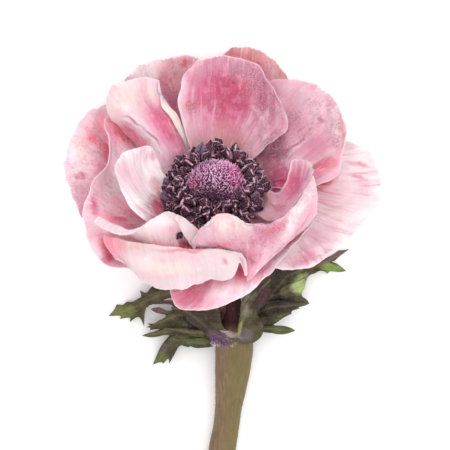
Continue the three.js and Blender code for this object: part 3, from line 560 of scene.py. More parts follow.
            [[-5.0, 30.6, 9.9], [8.4, 31.0, 9.5], [20.0, 26.0, 7.6]],
            [[-2.5, 36.6, 14.2], [2.0, 39.6, 16.8], [6.4, 41.4, 18.2], [12.4, 39.8, 17.0],
             [16.0, 37.2, 15.0], [19.4, 32.6, 12.4]],
        ],
        "ruffle": 0.45, "rag": 0.3, "reach": 0.9, "specks": 0.8, "veins": 0.4,
        "hollows": [(9.0, 36.0, 10.0, 7.0, 0)],
        "patches": [(9.0, 37.0, 9.0, 6.0, 0)],
        "inner": ("salmon", [
            ("coral", 7.0, 38.8, 6.5, 3.0, -20, 0.55), ("shell", 15.5, 35.5, 4.0, 3.0, -40, 0.7),
            ("rose", 12.0, 36.0, 3.0, 6.0, 40, 0.5), ("brick", 10.5, 37.6, 3.0, 0.8, -35, 0.4),
        ]),
        "outer": ("blush", [("tan", 8.0, 30.0, 9.0, 9.0, 0, 0.6)]),
    },
    "petal_left_low": {
        "turn": -65, "level": 4, "slot": "petal_pink",
        "rows": [
            [[-7.6, -7.4, -3.0], [-12.0, -5.0, -2.8], [-12.6, 1.0, -2.8]],
            [[-13.4, -12.0, -2.0], [-21.0, -5.6, 1.2], [-18.6, 8.0, 0.0]],
            [[-19.5, -15.5, -0.2], [-28.6, -6.6, 5.0], [-30.0, 5.0, 7.0], [-21.5, 16.5, 4.2]],
            [[-22.6, -17.5, 1.0], [-27.8, -16.9, 3.0], [-33.8, -10.2, 6.6], [-35.0, -2.4, 9.6],
             [-33.2, 4.6, 11.6], [-28.4, 12.4, 10.2], [-29.0, 17.4, 11.0], [-29.8, 22.4, 11.6],
             [-24.5, 23.5, 8.4]],
        ],
        "ruffle": 0.25, "rag": 0.2, "specks": 0.9, "veins": 0.3,
        "hollows": [(-27.0, 4.0, 11.0, 16.0, 0), (-25.0, 17.0, 9.0, 6.0, -48)],
        "patches": [(-27.0, 4.0, 6.0, 7.0, 0), (-25.0, -4.0, 8.0, 3.0, -25),
                    (-25.0, 15.0, 5.0, 5.0, 0)],
        "inner": ("blush", [
            # peach and milk at (-27, 4) lighten the shaded middle of the petal: painted light
            ("peach", -27.0, 4.0, 10.5, 12.5, 0, 0.6), ("milk", -27.0, 5.0, 8.0, 9.5, 0, 0.55),
            ("magenta", -32.2, -0.4, 2.2, 5.0, 6, 0.8), ("lilac", -31.0, 6.5, 3.2, 7.0, -10, 0.4),
            # flush and coral near (-25, -4) lie along the front left petal's margin: painted shadow
            # of that margin
            ("flush", -23.0, 0.0, 5.0, 6.0, 0, 0.3), ("flush", -26.0, -5.4, 2.2, 7.5, 64, 1.0),
            ("coral", -25.0, -4.6, 0.8, 6.0, 68, 0.9), ("flush", -20.5, -3.0, 5.0, 3.4, 20, 0.8),
            ("flush", -29.0, -11.5, 4.0, 6.0, 30, 0.85), ("coral", -28.6, -12.5, 2.2, 5.0, 35, 0.8),
            # flush and coral at (-25, 18): pink in the shade behind the upper left petal's flap,
            # partly painted shadow
            ("flush", -25.4, 17.6, 9.5, 4.6, -48, 1.0), ("coral", -25.0, 18.4, 8.5, 2.4, -48, 0.9),
            ("deep", -28.0, -14.0, 5.0, 4.4, 30, 0.7), ("lilac", -24.8, -16.4, 3.4, 1.6, 0, 0.5),
            ("blush", -27.5, 12.0, 2.2, 4.0, 0, 0.5), ("salmon", -25.0, -8.5, 4.5, 3.0, 0, 0.7),
            ("brick", -25.4, -11.0, 0.6, 3.6, 40, 0.6),
        ]),
        "outer": ("shell", [("rose", -28.0, -6.0, 8.0, 8.0, 0, 0.5)]),
    },
    "petal_front_low": {
        "turn": 15, "level": 4, "slot": "petal_deep",
        "rows": [
            [[7.6, -9.2, -3.8], [1.8, -10.8, -3.8], [-4.6, -10.6, -3.8]],
            [[17.0, -9.6, -0.4], [5.0, -16.6, -2.4], [-7.6, -17.0, -2.4]],
            [[23.4, -7.4, 4.6], [15.4, -14.0, 1.0], [5.6, -20.6, -1.2], [-9.4, -22.2, -2.2]],
            [[26.8, -4.0, 7.4], [20.4, -11.4, 3.8], [13.4, -19.6, 0.2], [6.4, -25.2, -2.0],
             [-1.0, -28.0, -3.2], [-10.0, -27.7, -3.6], [-12.0, -23.0, -3.0]],
        ],
        "ruffle": 0.25, "rag": 0.15, "specks": 0.3, "veins": 0.3,
        "hollows": [(6.0, -22.0, 12.0, 6.0, 18)],
        "patches": [(17.0, -13.0, 3.0, 8.0, -43)],
        "inner": ("blush", [
            # rose and coral at the left are deep pink, partly painted shadow of the front low left
            # petal, and deep at (-5.0, -21.0) is painted shadow under it
            ("rose", -7.0, -24.0, 9.5, 7.0, 0, 0.85), ("coral", -7.5, -23.6, 5.0, 4.0, 0, 0.5),
            ("deep", -5.0, -21.0, 9.0, 2.2, 4, 0.6), ("milk", 8.0, -22.0, 7.0, 4.0, 30, 0.6),
            # milk at (3.8, -23.0) is a painted highlight streak
            ("milk", 3.8, -23.0, 3.6, 1.2, 20, 0.9), ("milk", 2.0, -23.2, 6.0, 2.6, 10, 0.8),
            # flush at (6.8, -19.0) lightens the shaded slit: painted light
            ("flush", 6.8, -19.0, 4.6, 4.6, 0, 1.0), ("coral", 6.4, -18.2, 2.4, 3.0, -30, 0.6),
            ("blush", 8.0, -22.5, 4.0, 1.8, 38, 0.7), ("rose", 12.5, -18.0, 2.0, 6.0, -43, 0.75),
            ("milk", 17.6, -14.0, 1.0, 8.0, -42, 0.7), ("coral", 21.5, -8.6, 1.0, 7.0, -42, 0.8),
        ]),
        "outer": ("blush", [("coral", -4.0, -22.0, 8.0, 6.0, 0, 0.4)]),
    },
    "petal_left_far": {
        "turn": -105, "level": 5, "slot": "petal_pale",
        "rows": [
            [[-11.4, -1.4, -4.3], [-11.8, 2.4, -4.3], [-9.4, 6.6, -4.2]],
            [[-22.0, 0.0, -0.6], [-22.6, 6.4, 0.0], [-18.6, 14.0, -0.4]],
            [[-31.6, 0.0, 3.6], [-32.0, 9.4, 4.6], [-26.0, 19.6, 3.4]],
            [[-35.6, -4.4, 6.0], [-37.8, 1.0, 7.4], [-40.4, 9.4, 8.6], [-38.4, 18.0, 9.4],
             [-34.0, 24.6, 9.4], [-28.6, 26.6, 8.0]],
        ],
        "ruffle": 0.4, "rag": 0.25, "specks": 1.2, "veins": 0.3,
        "hollows": [(-33.0, 14.0, 9.0, 13.0, 0)],
        "patches": [(-33.0, 14.0, 6.0, 9.0, 0), (-35.5, 4.0, 5.0, 7.0, 0)],
        "inner": ("blush", [
            ("peach", -35.0, 12.0, 6.0, 11.0, 0, 0.4), ("milk", -36.0, 11.0, 5.0, 9.0, 0, 0.5),
            ("cream", -37.0, 15.0, 4.0, 7.0, 0, 0.5), ("flush", -32.8, 17.8, 3.0, 4.6, 8, 0.9),
            ("coral", -33.0, 17.4, 1.2, 2.4, 8, 0.6), ("flush", -30.5, 21.5, 4.0, 4.0, 0, 0.6),
            # flush and coral at (-29, 15): painted shadow between this petal and the upper left
            # petal's flap
            ("flush", -29.4, 15.0, 3.4, 6.4, 22, 1.0), ("coral", -28.9, 14.6, 2.4, 4.8, 22, 0.8),
            ("magenta", -35.9, 7.3, 2.4, 1.6, 10, 0.75), ("magenta", -36.8, 3.4, 1.8, 1.4, 0, 0.4),
            ("shell", -36.4, 0.0, 4.0, 5.0, 0, 0.7), ("flush", -31.0, 8.0, 2.6, 5.0, 0, 0.5),
            ("milk", -38.6, 13.0, 1.8, 5.0, 0, 0.6),
        ]),
        "outer": ("blush", [("shell", -33.0, 10.0, 6.0, 9.0, 0, 0.5)]),
    },
    "petal_right_low": {
        "turn": 80, "level": 5, "slot": "petal_pale",
        "rows": [
            [[10.0, 7.0, -4.6], [12.4, 0.6, -4.8], [10.8, -6.0, -4.8]],
            [[20.0, 12.6, -1.6], [22.8, 0.6, -2.6], [13.8, -11.2, -4.4]],
            [[28.4, 15.8, 2.4], [33.0, 1.6, 0.4], [27.0, -10.5, -1.2], [14.6, -14.6, -3.4]],
            [[34.0, 16.8, 6.0], [40.4, 14.2, 5.0], [43.8, 7.0, 3.4], [43.4, -0.6, 2.2],
             [38.0, -6.6, 1.2], [31.0, -13.4, 0.2], [22.6, -17.6, -0.2], [15.6, -17.4, -1.4]],
        ],
        "ruffle": 0.45, "rag": 0.25, "specks": 0.3, "veins": 0.8,
        "patches": [],
        "inner": ("milk", [
            ("rose", 15.0, 0.0, 5.0, 7.0, 0, 0.9), ("magenta", 15.4, 4.0, 4.0, 4.4, 0, 1.0),
            ("blush", 32.0, 2.0, 11.0, 12.0, 0, 0.7), ("shell", 27.0, -9.0, 10.0, 6.0, 30, 0.75),
            # coral and brick at (28.6, 5.4) and (27.6, 5.0): painted shadow under the back right
            # petal's rolled margin
            ("rose", 23.5, -14.5, 6.5, 3.0, 18, 0.7), ("coral", 28.6, 5.4, 6.4, 3.4, 28, 1.0),
            ("brick", 27.6, 5.0, 3.6, 1.6, 28, 0.5), ("rose", 38.5, 10.2, 5.5, 1.0, -8, 0.8),
            ("shell", 40.0, 4.0, 4.0, 6.0, 0, 0.5), ("rose", 38.0, 6.8, 4.5, 0.7, -10, 0.6),
            ("cream", 33.0, -2.0, 5.0, 5.0, 0, 0.5),
        ]),
        "outer": ("blush", [("shell", 30.0, 0.0, 9.0, 9.0, 0, 0.5)]),
    },
}
petalMake = {
    "seed": 40, "across": 88, "along": 84, "fine": 180, "thickness": 0.36, "marginShare": 0.35,
    "taper": 1.2, "reach": 0.15, "nicks": 0.6, "nickWaves": [(1.0, 3, 9), (0.45, 12, 30)],
    "sideWaves": (2, 8), "ruffleWaves": (2.5, 6), "pleat": 0.05, "pleatWaves": (14, 38),
    "dent": 0.17, "dentSize": 7, "leanHalf": 0.09, "flapColumns": 14, "flapLeast": 0.12,
    "lowest": 0.6,
}
# Strengths of what every face shows. A dot kind is shade, offset, scale, detail, roughness, low,
# high.
petalPaint = {
    "uneven": 0.9, "mottle": 0.1, "speckMottle": 0.22, "veins": 0.7, "streaks": 0.35, "loose": 0.35,
    "blots": 0.45, "creases": 0.5, "folds": 0.35, "dots": 0.65, "margin": 0.45, "outerSpecks": 0.6,
    # a face is dimmed by these outside its shaded recesses, so that those look lit: painted light
    "dimOutsidePaintedLight": (0.86, 0.87, 0.87), "roughness": 0.5, "relief": 0.4,
    "dotKinds": [
        ("brick", (7.0, 3.0, 5.0), 1.5, 2.0, 0.6, 0.69, 0.78),
        ("wine", (1.0, 9.0, 4.0), 2.6, 1.0, 0.5, 0.74, 0.79),
    ],
}


def petalFace(name, face, petal, specks):
    # one face of a petal: a ground colour, washes of others, clouds, streaks, specks, a pale margin
    ground, washes = face
    finish = Finish(name)
    here = finish.warped(finish.here, 0.16, 2.2)
    fan = finish.warped(finish.scaled(finish.spread, (24.0, 2.4, 1.0)), 0.6, 0.7)
    streaks = finish.noise(fan, 1.0, 6.0, 0.72)
    cloud = finish.noise(finish.here, 0.3, 7.0, 0.66)
    blots = finish.noise(finish.warped(finish.here, 0.7, 1.0), 0.8, 5.0, 0.72)
    uneven = (streaks + cloud * 1.5 - 1.25) * petal.get("uneven", petalPaint["uneven"])
    colour = shades[ground]
    for shade, *oval, strength in washes:
        inside = finish.spot(here, *oval) + uneven
        colour = finish.tinted(colour, shades[shade], inside, 0.02, 0.9, strength)
    mottle = petalPaint["mottle"] + petalPaint["speckMottle"] * petal["specks"]
    colour = finish.tinted(colour, shades["flush"], cloud, 0.5, 0.34, mottle)
    colour = finish.tinted(colour, shades[ground], cloud, 0.51, 0.66, mottle)
    veins = (petal["veins"], petalPaint["veins"])
    colour = finish.tinted(colour, shades["rose"], streaks, 0.5, 0.68, *veins)
    colour = finish.tinted(colour, shades["milk"], streaks, 0.46, 0.3, petalPaint["streaks"])
    # specks: a loose scatter all over and a crowd in the patches
    crowd = finish.step(finish.noise(finish.here, 0.17, 3.0), 0.5, 0.7) * petalPaint["loose"]
    crowd = finish.within(crowd, here, petal["patches"], uneven) * specks
    colour = finish.tinted(colour, shades["deep"], blots, 0.51, 0.68, crowd, petalPaint["blots"])
    # painted shade and highlight of small crinkles: dark creases along the crumple lines, pale
    # folds beside them
    crumple = finish.noise(finish.warped(finish.here, 0.5, 1.0), 0.42, 4.0, 0.6)
    ridges = finish.maths("ABSOLUTE", crumple - 0.5, 0.0)
    clouded = finish.step(cloud, 0.42, 0.56)
    creases = petalPaint["creases"]
    colour = finish.tinted(colour, shades["deep"], ridges, 0.02, 0.002, clouded, crowd, creases)
    folds = finish.step(ridges, 0.03, 0.045) * finish.step(ridges, 0.075, 0.055)
    colour = finish.mix(folds * crowd * petalPaint["folds"], colour, shades["milk"])
    for shade, offset, scale, detail, roughness, low, high in petalPaint["dotKinds"]:
        dots = finish.noise(finish.shift(finish.here, offset), scale, detail, roughness)
        colour = finish.tinted(colour, shades[shade], dots, low, high, crowd, petalPaint["dots"])
    toEdge = finish.part("toMargin")
    colour = finish.tinted(colour, shades["milk"], toEdge, 0.4, 0.05, petalPaint["margin"])
    # painted light: the listed shaded recesses keep the full colour, and the rest of the face is
    # dimmed
    full = finish.within(0.0, here, petal.get("hollows", ()))
    colour = finish.mix(full, finish.scaled(colour, petalPaint["dimOutsidePaintedLight"]), colour)
    ribs = finish.noise(finish.scaled(finish.spread, (110.0, 5.0, 1.0)), 1.0, 3.0, 0.6)
    relief = ribs * 0.5 + streaks * 0.9 + blots * 0.7 * petal["specks"] - folds * crowd * 0.4
    return finish.finished(
        colour, petalPaint["roughness"], relief, petalPaint["relief"], Subsurface_Weight=0.6,
        Subsurface_Radius=(1.0, 0.55, 0.5), Subsurface_Scale=0.0006, Specular_IOR_Level=0.3,
    )


def petalRim():
    finish = Finish("petalRim")
    fleck = finish.noise(finish.here, 0.5, 4.0)
    colour = finish.tinted(shades["blush"], shades["shell"], fleck, 0.4, 0.62)
    return finish.finished(colour, 0.5, Subsurface_Weight=0.2, Subsurface_Scale=0.0006)


def clawRow(petal):
    # the row where a petal starts, square against the receptacle's side
    angle = math.radians(petal["turn"])
    outRight, outBack = math.sin(angle), -math.cos(angle)
    height = -firstClawDrop - clawStep * petal["level"]
    row = []
    for aside in (-clawHalfWidth, 0.0, clawHalfWidth):
        back = outBack * clawRadius - outRight * aside
        right = outRight * clawRadius + outBack * aside
        row.append([right, math.cos(bloomTilt) * (back + height), height])
    return row


def petalSurface(petal, fine):
    # the petal's middle surface as a grid of points: first index to the tip, second across
    fractions = np.linspace(0, 1, fine + 1)
    rows = [curveThrough(placed(row), fractions) for row in [clawRow(petal)] + petal["rows"]]
    columns = [curveThrough([row[i] for row in rows], fractions) for i in range(fine + 1)]
    return np.stack(columns, axis=1)


def between(grid, along, across):
    # points of a grid at fractions of its length and width. It carries on straight past the tip.
    last = grid.shape[0] - 1
    y, x = np.maximum(along, 0) * last, np.clip(across, 0, 1) * last
    j, i = np.minimum(y.astype(int), last - 1), np.minimum(x.astype(int), last - 1)
    fy, fx = (y - j)[..., None], (x - i)[..., None]
    near = grid[j, i] * (1 - fx) + grid[j, i + 1] * fx
    far = grid[j + 1, i] * (1 - fx) + grid[j + 1, i + 1] * fx
    return near * (1 - fy) + far * fy


def sheetNormals(grid):
    return unit(np.cross(np.gradient(grid, axis=1), np.gradient(grid, axis=0)))


def rollMargin(grid, side, share, degrees, end):
    # curls the outer share of a sheet about its own margin, towards the inner face if positive
    onLeft = side == "left"
    sheet = (grid[:, ::-1] if onLeft else grid).copy()
    steps = np.diff(sheet, axis=1)
    count = sheet.shape[1]
    start = int(round(count * (1 - share)))
    axis = unit(np.gradient(sheet, axis=0)[:, start]) * (1 if onLeft else -1)
    along = np.linspace(0, 1, sheet.shape[0])
    fade = smoothStep(0.12, 0.4, along) * smoothStep(end, end - 0.15, along)
    for i in range(start + 1, count):
        step = steps[:, i - 1]
        angle = (math.radians(degrees) * (i - start) / (count - start) * fade)[:, None]
        kept = axis * np.sum(axis * step, axis=1, keepdims=True)
        step = kept + (step - kept) * np.cos(angle) + np.cross(axis, step) * np.sin(angle)
        sheet[:, i] = sheet[:, i - 1] + step
    return sheet[:, ::-1] if onLeft else sheet


def toMargin(grid):
    # how far each point of a sheet lies from its free margins
    across = np.linalg.norm(np.diff(grid, axis=1), axis=2)
    along = np.linalg.norm(np.diff(grid, axis=0), axis=2)
    fromLeft = np.pad(np.cumsum(across, axis=1), ((0, 0), (1, 0)))
    fromClaw = np.pad(np.cumsum(along, axis=0), ((1, 0), (0, 0)))
    return np.minimum(np.minimum(fromLeft, fromLeft[:, -1:] - fromLeft), fromClaw[-1:] - fromClaw)


def marginCourse(petal, chance, across, along, wide, long):
    # how far the tip reaches at each line, how far notches lean, and what each side keeps off
    rag = petal["rag"]
    nicks = petalMake["nicks"]
    for share, slow, fast in petalMake["nickWaves"]:
        nicks = nicks + share * waves(across, chance, slow, fast)
    tip = 1 + (petal.get("reach", petalMake["reach"]) - rag * nicks) / long
    slant = 0.0
    for where, half, depth, lean in petal.get("notches", []):
        tip = tip - depth / long * np.exp(-(((across - where) / half) ** 2))
        near = np.exp(-(((across - where) / petalMake["leanHalf"]) ** 2))
        slant = slant + lean * near * smoothStep(0.7, 1.0, along)
    left, right = [
        rag / wide * np.maximum(0.5 + waves(along, chance, *petalMake["sideWaves"]), 0)
        * smoothStep(0.3, 0.7, along) for _ in range(2)
    ]
    return tip, slant, left, right


def petalGrid(petal, chance):
    # the middle surface of a finished petal, with its margin's course, folds, rolls and waves
    base = petalSurface(petal, petalMake["fine"])
    across = np.linspace(0, 1, petalMake["across"] + 1)[None, :]
    along = np.linspace(0, 1, petalMake["along"] + 1)[:, None]
    middle = petalMake["fine"] // 2
    wide = np.linalg.norm(np.diff(base, axis=1), axis=2).sum(axis=1).max()
    long = np.linalg.norm(np.diff(base[:, middle], axis=0), axis=1).sum()
    tip, slant, left, right = marginCourse(petal, chance, across, along, wide, long)
    # a fold lays the last columns back over the inner face, as a flap that narrows to both its ends
    start, end, flap, rise = petal.get("fold", (0, 1, 0, 0))
    least = petalMake["flapLeast"]
    hinge = 1 - (petalMake["flapColumns"] / petalMake["across"] if flap else 0)
    share = np.clip((along - start) / (end - start), 0, 1)
    flapWide = least + flap * np.sin(math.pi * share) ** 0.8
    back = np.maximum(across - hinge, 0) / max(1 - hinge, 1e-6)
    laidBack = back * flapWide / wide * bool(flap)
    u = left + np.minimum(across / hinge, 1) * (1 - left - right) - laidBack - slant
    v = along * tip
    grid = between(base, v, u)
    raised = rise * flapWide / (flap + least) * smoothStep(0, 0.3, back)
    grid = grid + between(sheetNormals(base), v, u) * raised[..., None]
    for roll in petal.get("rolls", []):
        grid = rollMargin(grid, *roll)
    normals = sheetNormals(grid) * np.where(back > 0, -1, 1)[..., None]
    ruffles = waves(across + 0.04 * along, chance, *petalMake["ruffleWaves"])
    lift = petal["ruffle"] * ruffles * smoothStep(0.45, 1.0, along) ** 1.5
    swells = dents(u * wide, v * long, chance, petalMake["dentSize"])
    lift = lift + petalMake["dent"] * swells * smoothStep(0.12, 0.4, along)
    pleats = waves(across + 0.01 * np.sin(9 * along), chance, *petalMake["pleatWaves"], 9)
    lift = lift + petalMake["pleat"] * pleats
    for where, when, broad, deep, height in petal.get("curls", []):
        away = ((across - where) / broad) ** 2 + ((along - when) / deep) ** 2
        lift = lift + height * np.exp(-away)
    grid = grid + normals * lift[..., None]
    grid[..., 2] = np.maximum(grid[..., 2], petalMake["thickness"] * petalMake["lowest"])
    return grid


def deselectAll():
    if bpy.context.object and bpy.context.object.mode != "OBJECT":
        bpy.ops.object.mode_set(mode="OBJECT")
    bpy.ops.object.select_all(action="DESELECT")


def chosen(*pieces):
    # selects these pieces alone and makes the first one active
    deselectAll()
    for piece in pieces:
        piece.select_set(True)
    bpy.context.view_layer.objects.active = pieces[0]


def linked(name, data):
    piece = bpy.data.objects.new(name, data)
    bpy.context.scene.collection.objects.link(piece)
    return piece


def named(name):
    piece = bpy.context.object
    piece.name = name
    piece.data.name = name
    return piece


def movedTo(piece, points):
    # puts every vertex of a mesh at its point, given in millimetres
    flat = (np.asarray(points, float).reshape(-1, 3) * millimetre).astype(np.float32)
    piece.data.vertices.foreach_set("co", flat.ravel())
    piece.data.update()


def gridPiece(name, points):
    # a grid primitive whose vertices are put at those points
    deselectAll()
    bpy.ops.mesh.primitive_grid_add(
        x_subdivisions=points.shape[1] - 1, y_subdivisions=points.shape[0] - 1, size=1
    )
    piece = named(name)
    movedTo(piece, points)
    return piece


def closed(gap, capped=False):
    # merges what lies within a gap on the active piece, caps open ends and turns its faces outward
    bpy.ops.object.mode_set(mode="EDIT")
    bpy.ops.mesh.select_all(action="SELECT")
    bpy.ops.mesh.remove_doubles(threshold=gap * millimetre)
    if capped:
        bpy.ops.mesh.select_all(action="DESELECT")
        bpy.ops.mesh.select_non_manifold()
        bpy.ops.mesh.edge_face_add()
        bpy.ops.mesh.select_all(action="SELECT")
    bpy.ops.mesh.normals_make_consistent(inside=False)
    bpy.ops.object.mode_set(mode="OBJECT")


def wear(piece, *materials):
    piece.data.materials.clear()
    for material in materials:
        piece.data.materials.append(material)


def applyModifiers(piece):
    chosen(piece)
    for modifier in list(piece.modifiers):
        bpy.ops.object.modifier_apply(modifier=modifier.name)


def smoothed(piece, degrees=50):
    chosen(piece)
    bpy.ops.object.shade_smooth_by_angle(angle=math.radians(degrees))


def marked(piece, name, values):
    attribute = piece.data.attributes.new(name, "FLOAT", "POINT")
    attribute.data.foreach_set("value", np.asarray(values, np.float32).ravel())


def thickened(piece, thickness, backSlot=0, rimSlot=0, group="", thinnest=0.0):
    wall = piece.modifiers.new("wall", "SOLIDIFY")
    wall.vertex_group = group
    wall.thickness_vertex_group = thinnest
    wall.thickness = thickness * millimetre
    wall.offset = 0.0
    wall.material_offset = backSlot
    wall.material_offset_rim = rimSlot
    applyModifiers(piece)


def mounted(piece, slot, *nodes):
    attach(piece, "root")
    if nodes:
        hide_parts(*nodes)
    return piece


def makePetals():
    rim = petalRim()
    for number, (node, petal) in enumerate(petals.items()):
        points = petalGrid(petal, random.Random(petalMake["seed"] + number))
        piece = gridPiece(node + ".fine", points)
        depth = toMargin(points)
        marked(piece, "toMargin", depth)
        flesh = piece.vertex_groups.new(name="flesh")
        for i, share in enumerate(smoothStep(0, petalMake["taper"], depth).ravel().tolist()):
            flesh.add([i], share, "REPLACE")
        inner = petalFace(node + ".inner", petal["inner"], petal, petal["specks"])
        specks = petal["specks"] * petalPaint["outerSpecks"]
        outer = petalFace(node + ".outer", petal["outer"], petal, specks)
        wear(piece, inner, outer, rim)
        thickened(piece, petalMake["thickness"], 1, 2, "flesh", petalMake["marginShare"])
        smoothed(piece)
        mounted(piece, petal["slot"], node)
    print("petals made")


makePetals()

# Stem: the scape lies along the surface, bends up as the pedicel and widens into the receptacle.
# scape is right, up, radius. pedicel has a rise before its radius. receptacle is height, radius.

stem = {
    "sides": 40, "steps": 190, "flatSide": math.cos(math.pi / 12), "ribs": 9, "ribDepth": 0.07,
    "swells": 5, "swellShare": 0.6, "usualRadius": 3.6,
    "scape": [
        (-5.9, -150.0, 3.5), (-3.4, -125.0, 3.6), (-0.9, -95.0, 3.6), (0.9, -75.0, 3.6),
        (1.8, -65.0, 3.6), (2.7, -60.0, 3.4), (3.3, -55.0, 3.5), (3.9, -50.0, 4.1),
        (4.4, -45.0, 4.65), (4.8, -40.0, 5.0), (4.9, -36.5, 5.0),
    ],
    "pedicel": [
        (4.8, -34.0, -12.5, 4.0), (4.6, -31.0, -12.4, 3.0), (3.6, -25.0, -12.2, 2.7),
        (2.0, -17.5, -11.2, 2.7), (0.8, -11.2, -9.2, 2.7),
    ],
    "receptacle": [
        (-8.8, 2.9), (-7.2, 3.9), (-6.2, 4.8), (-5.5, 5.0), (-0.4, 5.0), (-0.1, 4.8), (0.0, 4.4),
    ],
    "shades": {
        "furrow": hue(110, 90, 66), "rib": hue(136, 117, 88), "blotch": hue(132, 104, 84),
        "green": hue(112, 104, 56), "pore": hue(112, 92, 66), "pedicel": hue(58, 20, 28),
        "top": hue(120, 84, 70),
    },
}


def stemStations():
    # places down the middle of the stem, the radius at each, and how far along the stem each is
    stations = []
    for right, up, radius in stem["scape"]:
        rise = radius * stem["flatSide"] - receptacle[2]
        stations.append((receptacle + [right, up, rise], radius))
    for right, up, rise, radius in stem["pedicel"]:
        stations.append((receptacle + [right, up, rise], radius))
    for height, radius in stem["receptacle"]:
        stations.append((receptacle + toBloomAxis * height, radius))
    places = np.array([place for place, _ in stations])
    radii = np.array([radius for _, radius in stations])
    reached = np.concatenate([[0], np.cumsum(np.linalg.norm(np.diff(places, axis=0), axis=1))])
    return places, radii, reached


def stemFinish():
    finish = Finish("stemSkin")
    here, tints = finish.here, stem["shades"]
    right = finish.node("ShaderNodeSeparateXYZ", None, {0: here}, 0)
    up = finish.node("ShaderNodeSeparateXYZ", None, {0: here}, 1)
    lengthwise = finish.noise(finish.scaled(here, (1.0, 0.12, 1.0)), 1.6, 4.0, 0.6)
    blotches = finish.noise(here, 0.22, 4.0, 0.6)
    colour = finish.tinted(tints["furrow"], tints["rib"], lengthwise, 0.3, 0.7)
    colour = finish.tinted(colour, tints["blotch"], blotches, 0.42, 0.66, 0.7)
    colour = finish.tinted(colour, tints["green"], right - up * 0.056, -0.4, 2.2, 0.5)
    colour = finish.tinted(colour, tints["pore"], finish.cells(here, 1.1), 0.16, 0.07, 0.5)
    colour = finish.tinted(colour, tints["pedicel"], up, 19.4, 22.6, 0.95)
    colour = finish.tinted(colour, tints["top"], up, 36.0, 44.0, 0.8)
    colour = finish.scaled(colour, (0.88, 0.88, 0.88))
    fibres = finish.noise(finish.scaled(here, (2.0, 0.2, 2.0)), 2.2, 4.0)
    return finish.finished(colour, 0.6, fibres, 0.16, Specular_IOR_Level=0.2)


def makeStem():
    places, radii, reached = stemStations()
    fractions = np.linspace(0, 1, stem["steps"] + 1)
    course = curveThrough(places, fractions)
    thickness = np.interp(fractions * reached[-1], reached, radii)
    along = unit(np.gradient(course, axis=0))
    left = unit(np.cross(np.array([0.0, 0.0, 1.0]), along))
    up = np.cross(along, left)
    turns = np.linspace(0, 2 * math.pi, stem["sides"], endpoint=False)
    swells = stem["swellShare"] * np.cos(turns * stem["swells"] + 1)
    ribs = 1 + stem["ribDepth"] / stem["usualRadius"] * (np.cos(turns * stem["ribs"]) + swells)
    rings = (
        course[:, None]
        + left[:, None] * (thickness[:, None] * ribs * np.sin(turns))[..., None]
        - up[:, None] * (thickness[:, None] * ribs * np.cos(turns))[..., None]
    )
    rings[..., 2] = np.maximum(rings[..., 2], 0.0)
    piece = gridPiece("stem.fine", np.concatenate([rings, rings[:, :1]], axis=1))
    closed(0.01, capped=True)
    wear(piece, stemFinish())
    smoothed(piece)
    mounted(piece, "stem", "stem")
    print("stem made")


makeStem()

# Hairs, filaments and styles are strands: fine tubes along their own short paths.

def strands(name, paths, radii, sides):
    corners, faces = [], []
    turns = np.linspace(0, 2 * math.pi, sides, endpoint=False)
    count = 0
    for path, widths in zip(paths, radii):
        ahead = unit(np.gradient(path, axis=0))
        across = unit(np.cross(ahead, np.eye(3)[np.argmin(np.abs(ahead[0]))]))
        upward = np.cross(ahead, across)
        ring = across[:, None] * np.cos(turns)[:, None] + upward[:, None] * np.sin(turns)[:, None]
        corners.append((path[:, None] + ring * np.asarray(widths)[:, None, None]).reshape(-1, 3))
        for k in range(count, count + (len(path) - 1) * sides, sides):
            for i in range(sides):
                j = (i + 1) % sides
                faces.append((k + i, k + j, k + sides + j, k + sides + i))
        last = count + (len(path) - 1) * sides
        faces.append(tuple(range(count + sides - 1, count - 1, -1)))
        faces.append(tuple(range(last, last + sides)))
        count += len(path) * sides
    mesh = bpy.data.meshes.new(name)
    mesh.from_pydata((np.concatenate(corners) * millimetre).tolist(), [], faces)
    piece = linked(name, mesh)
    along = [np.repeat(np.linspace(0, 1, len(path)), sides) for path in paths]
    marked(piece, "along", np.concatenate(along))
    chance = random.Random(len(paths))
    tones = [np.full(len(path) * sides, chance.random()) for path in paths]
    marked(piece, "tone", np.concatenate(tones))
    return piece


def scattered(name, templates, matrices, tones, chance):
    # modelled shapes, copied to each place with their own mesh, and joined
    copies = []
    for matrix, tone in zip(matrices, tones):
        template = templates[chance.randrange(len(templates))]
        copy = linked(name, template.data.copy())
        copy.data.transform(matrix)
        marked(copy, "tone", np.full(len(copy.data.vertices), tone))
        copies.append(copy)
    for template in templates:
        bpy.data.objects.remove(template)
    chosen(*copies)
    bpy.ops.object.join()
    return named(name)


# Stamens: rounds of filaments with two-lobed anthers, which crowd round the dome. A round is count,
# reach from the dome's axis, rise, and how much lower its front is. Spare ones stand anywhere
# between two angles, two reaches and two rises. A faced one lies flat to the camera: angle, reach,
# rise, size, tone. A kind of anther is arch, skew, taper. bend is the share of the reach and the
# millimetres past it where a filament turns, then how high it turns there if its tip is above
# tallTip, and if not.

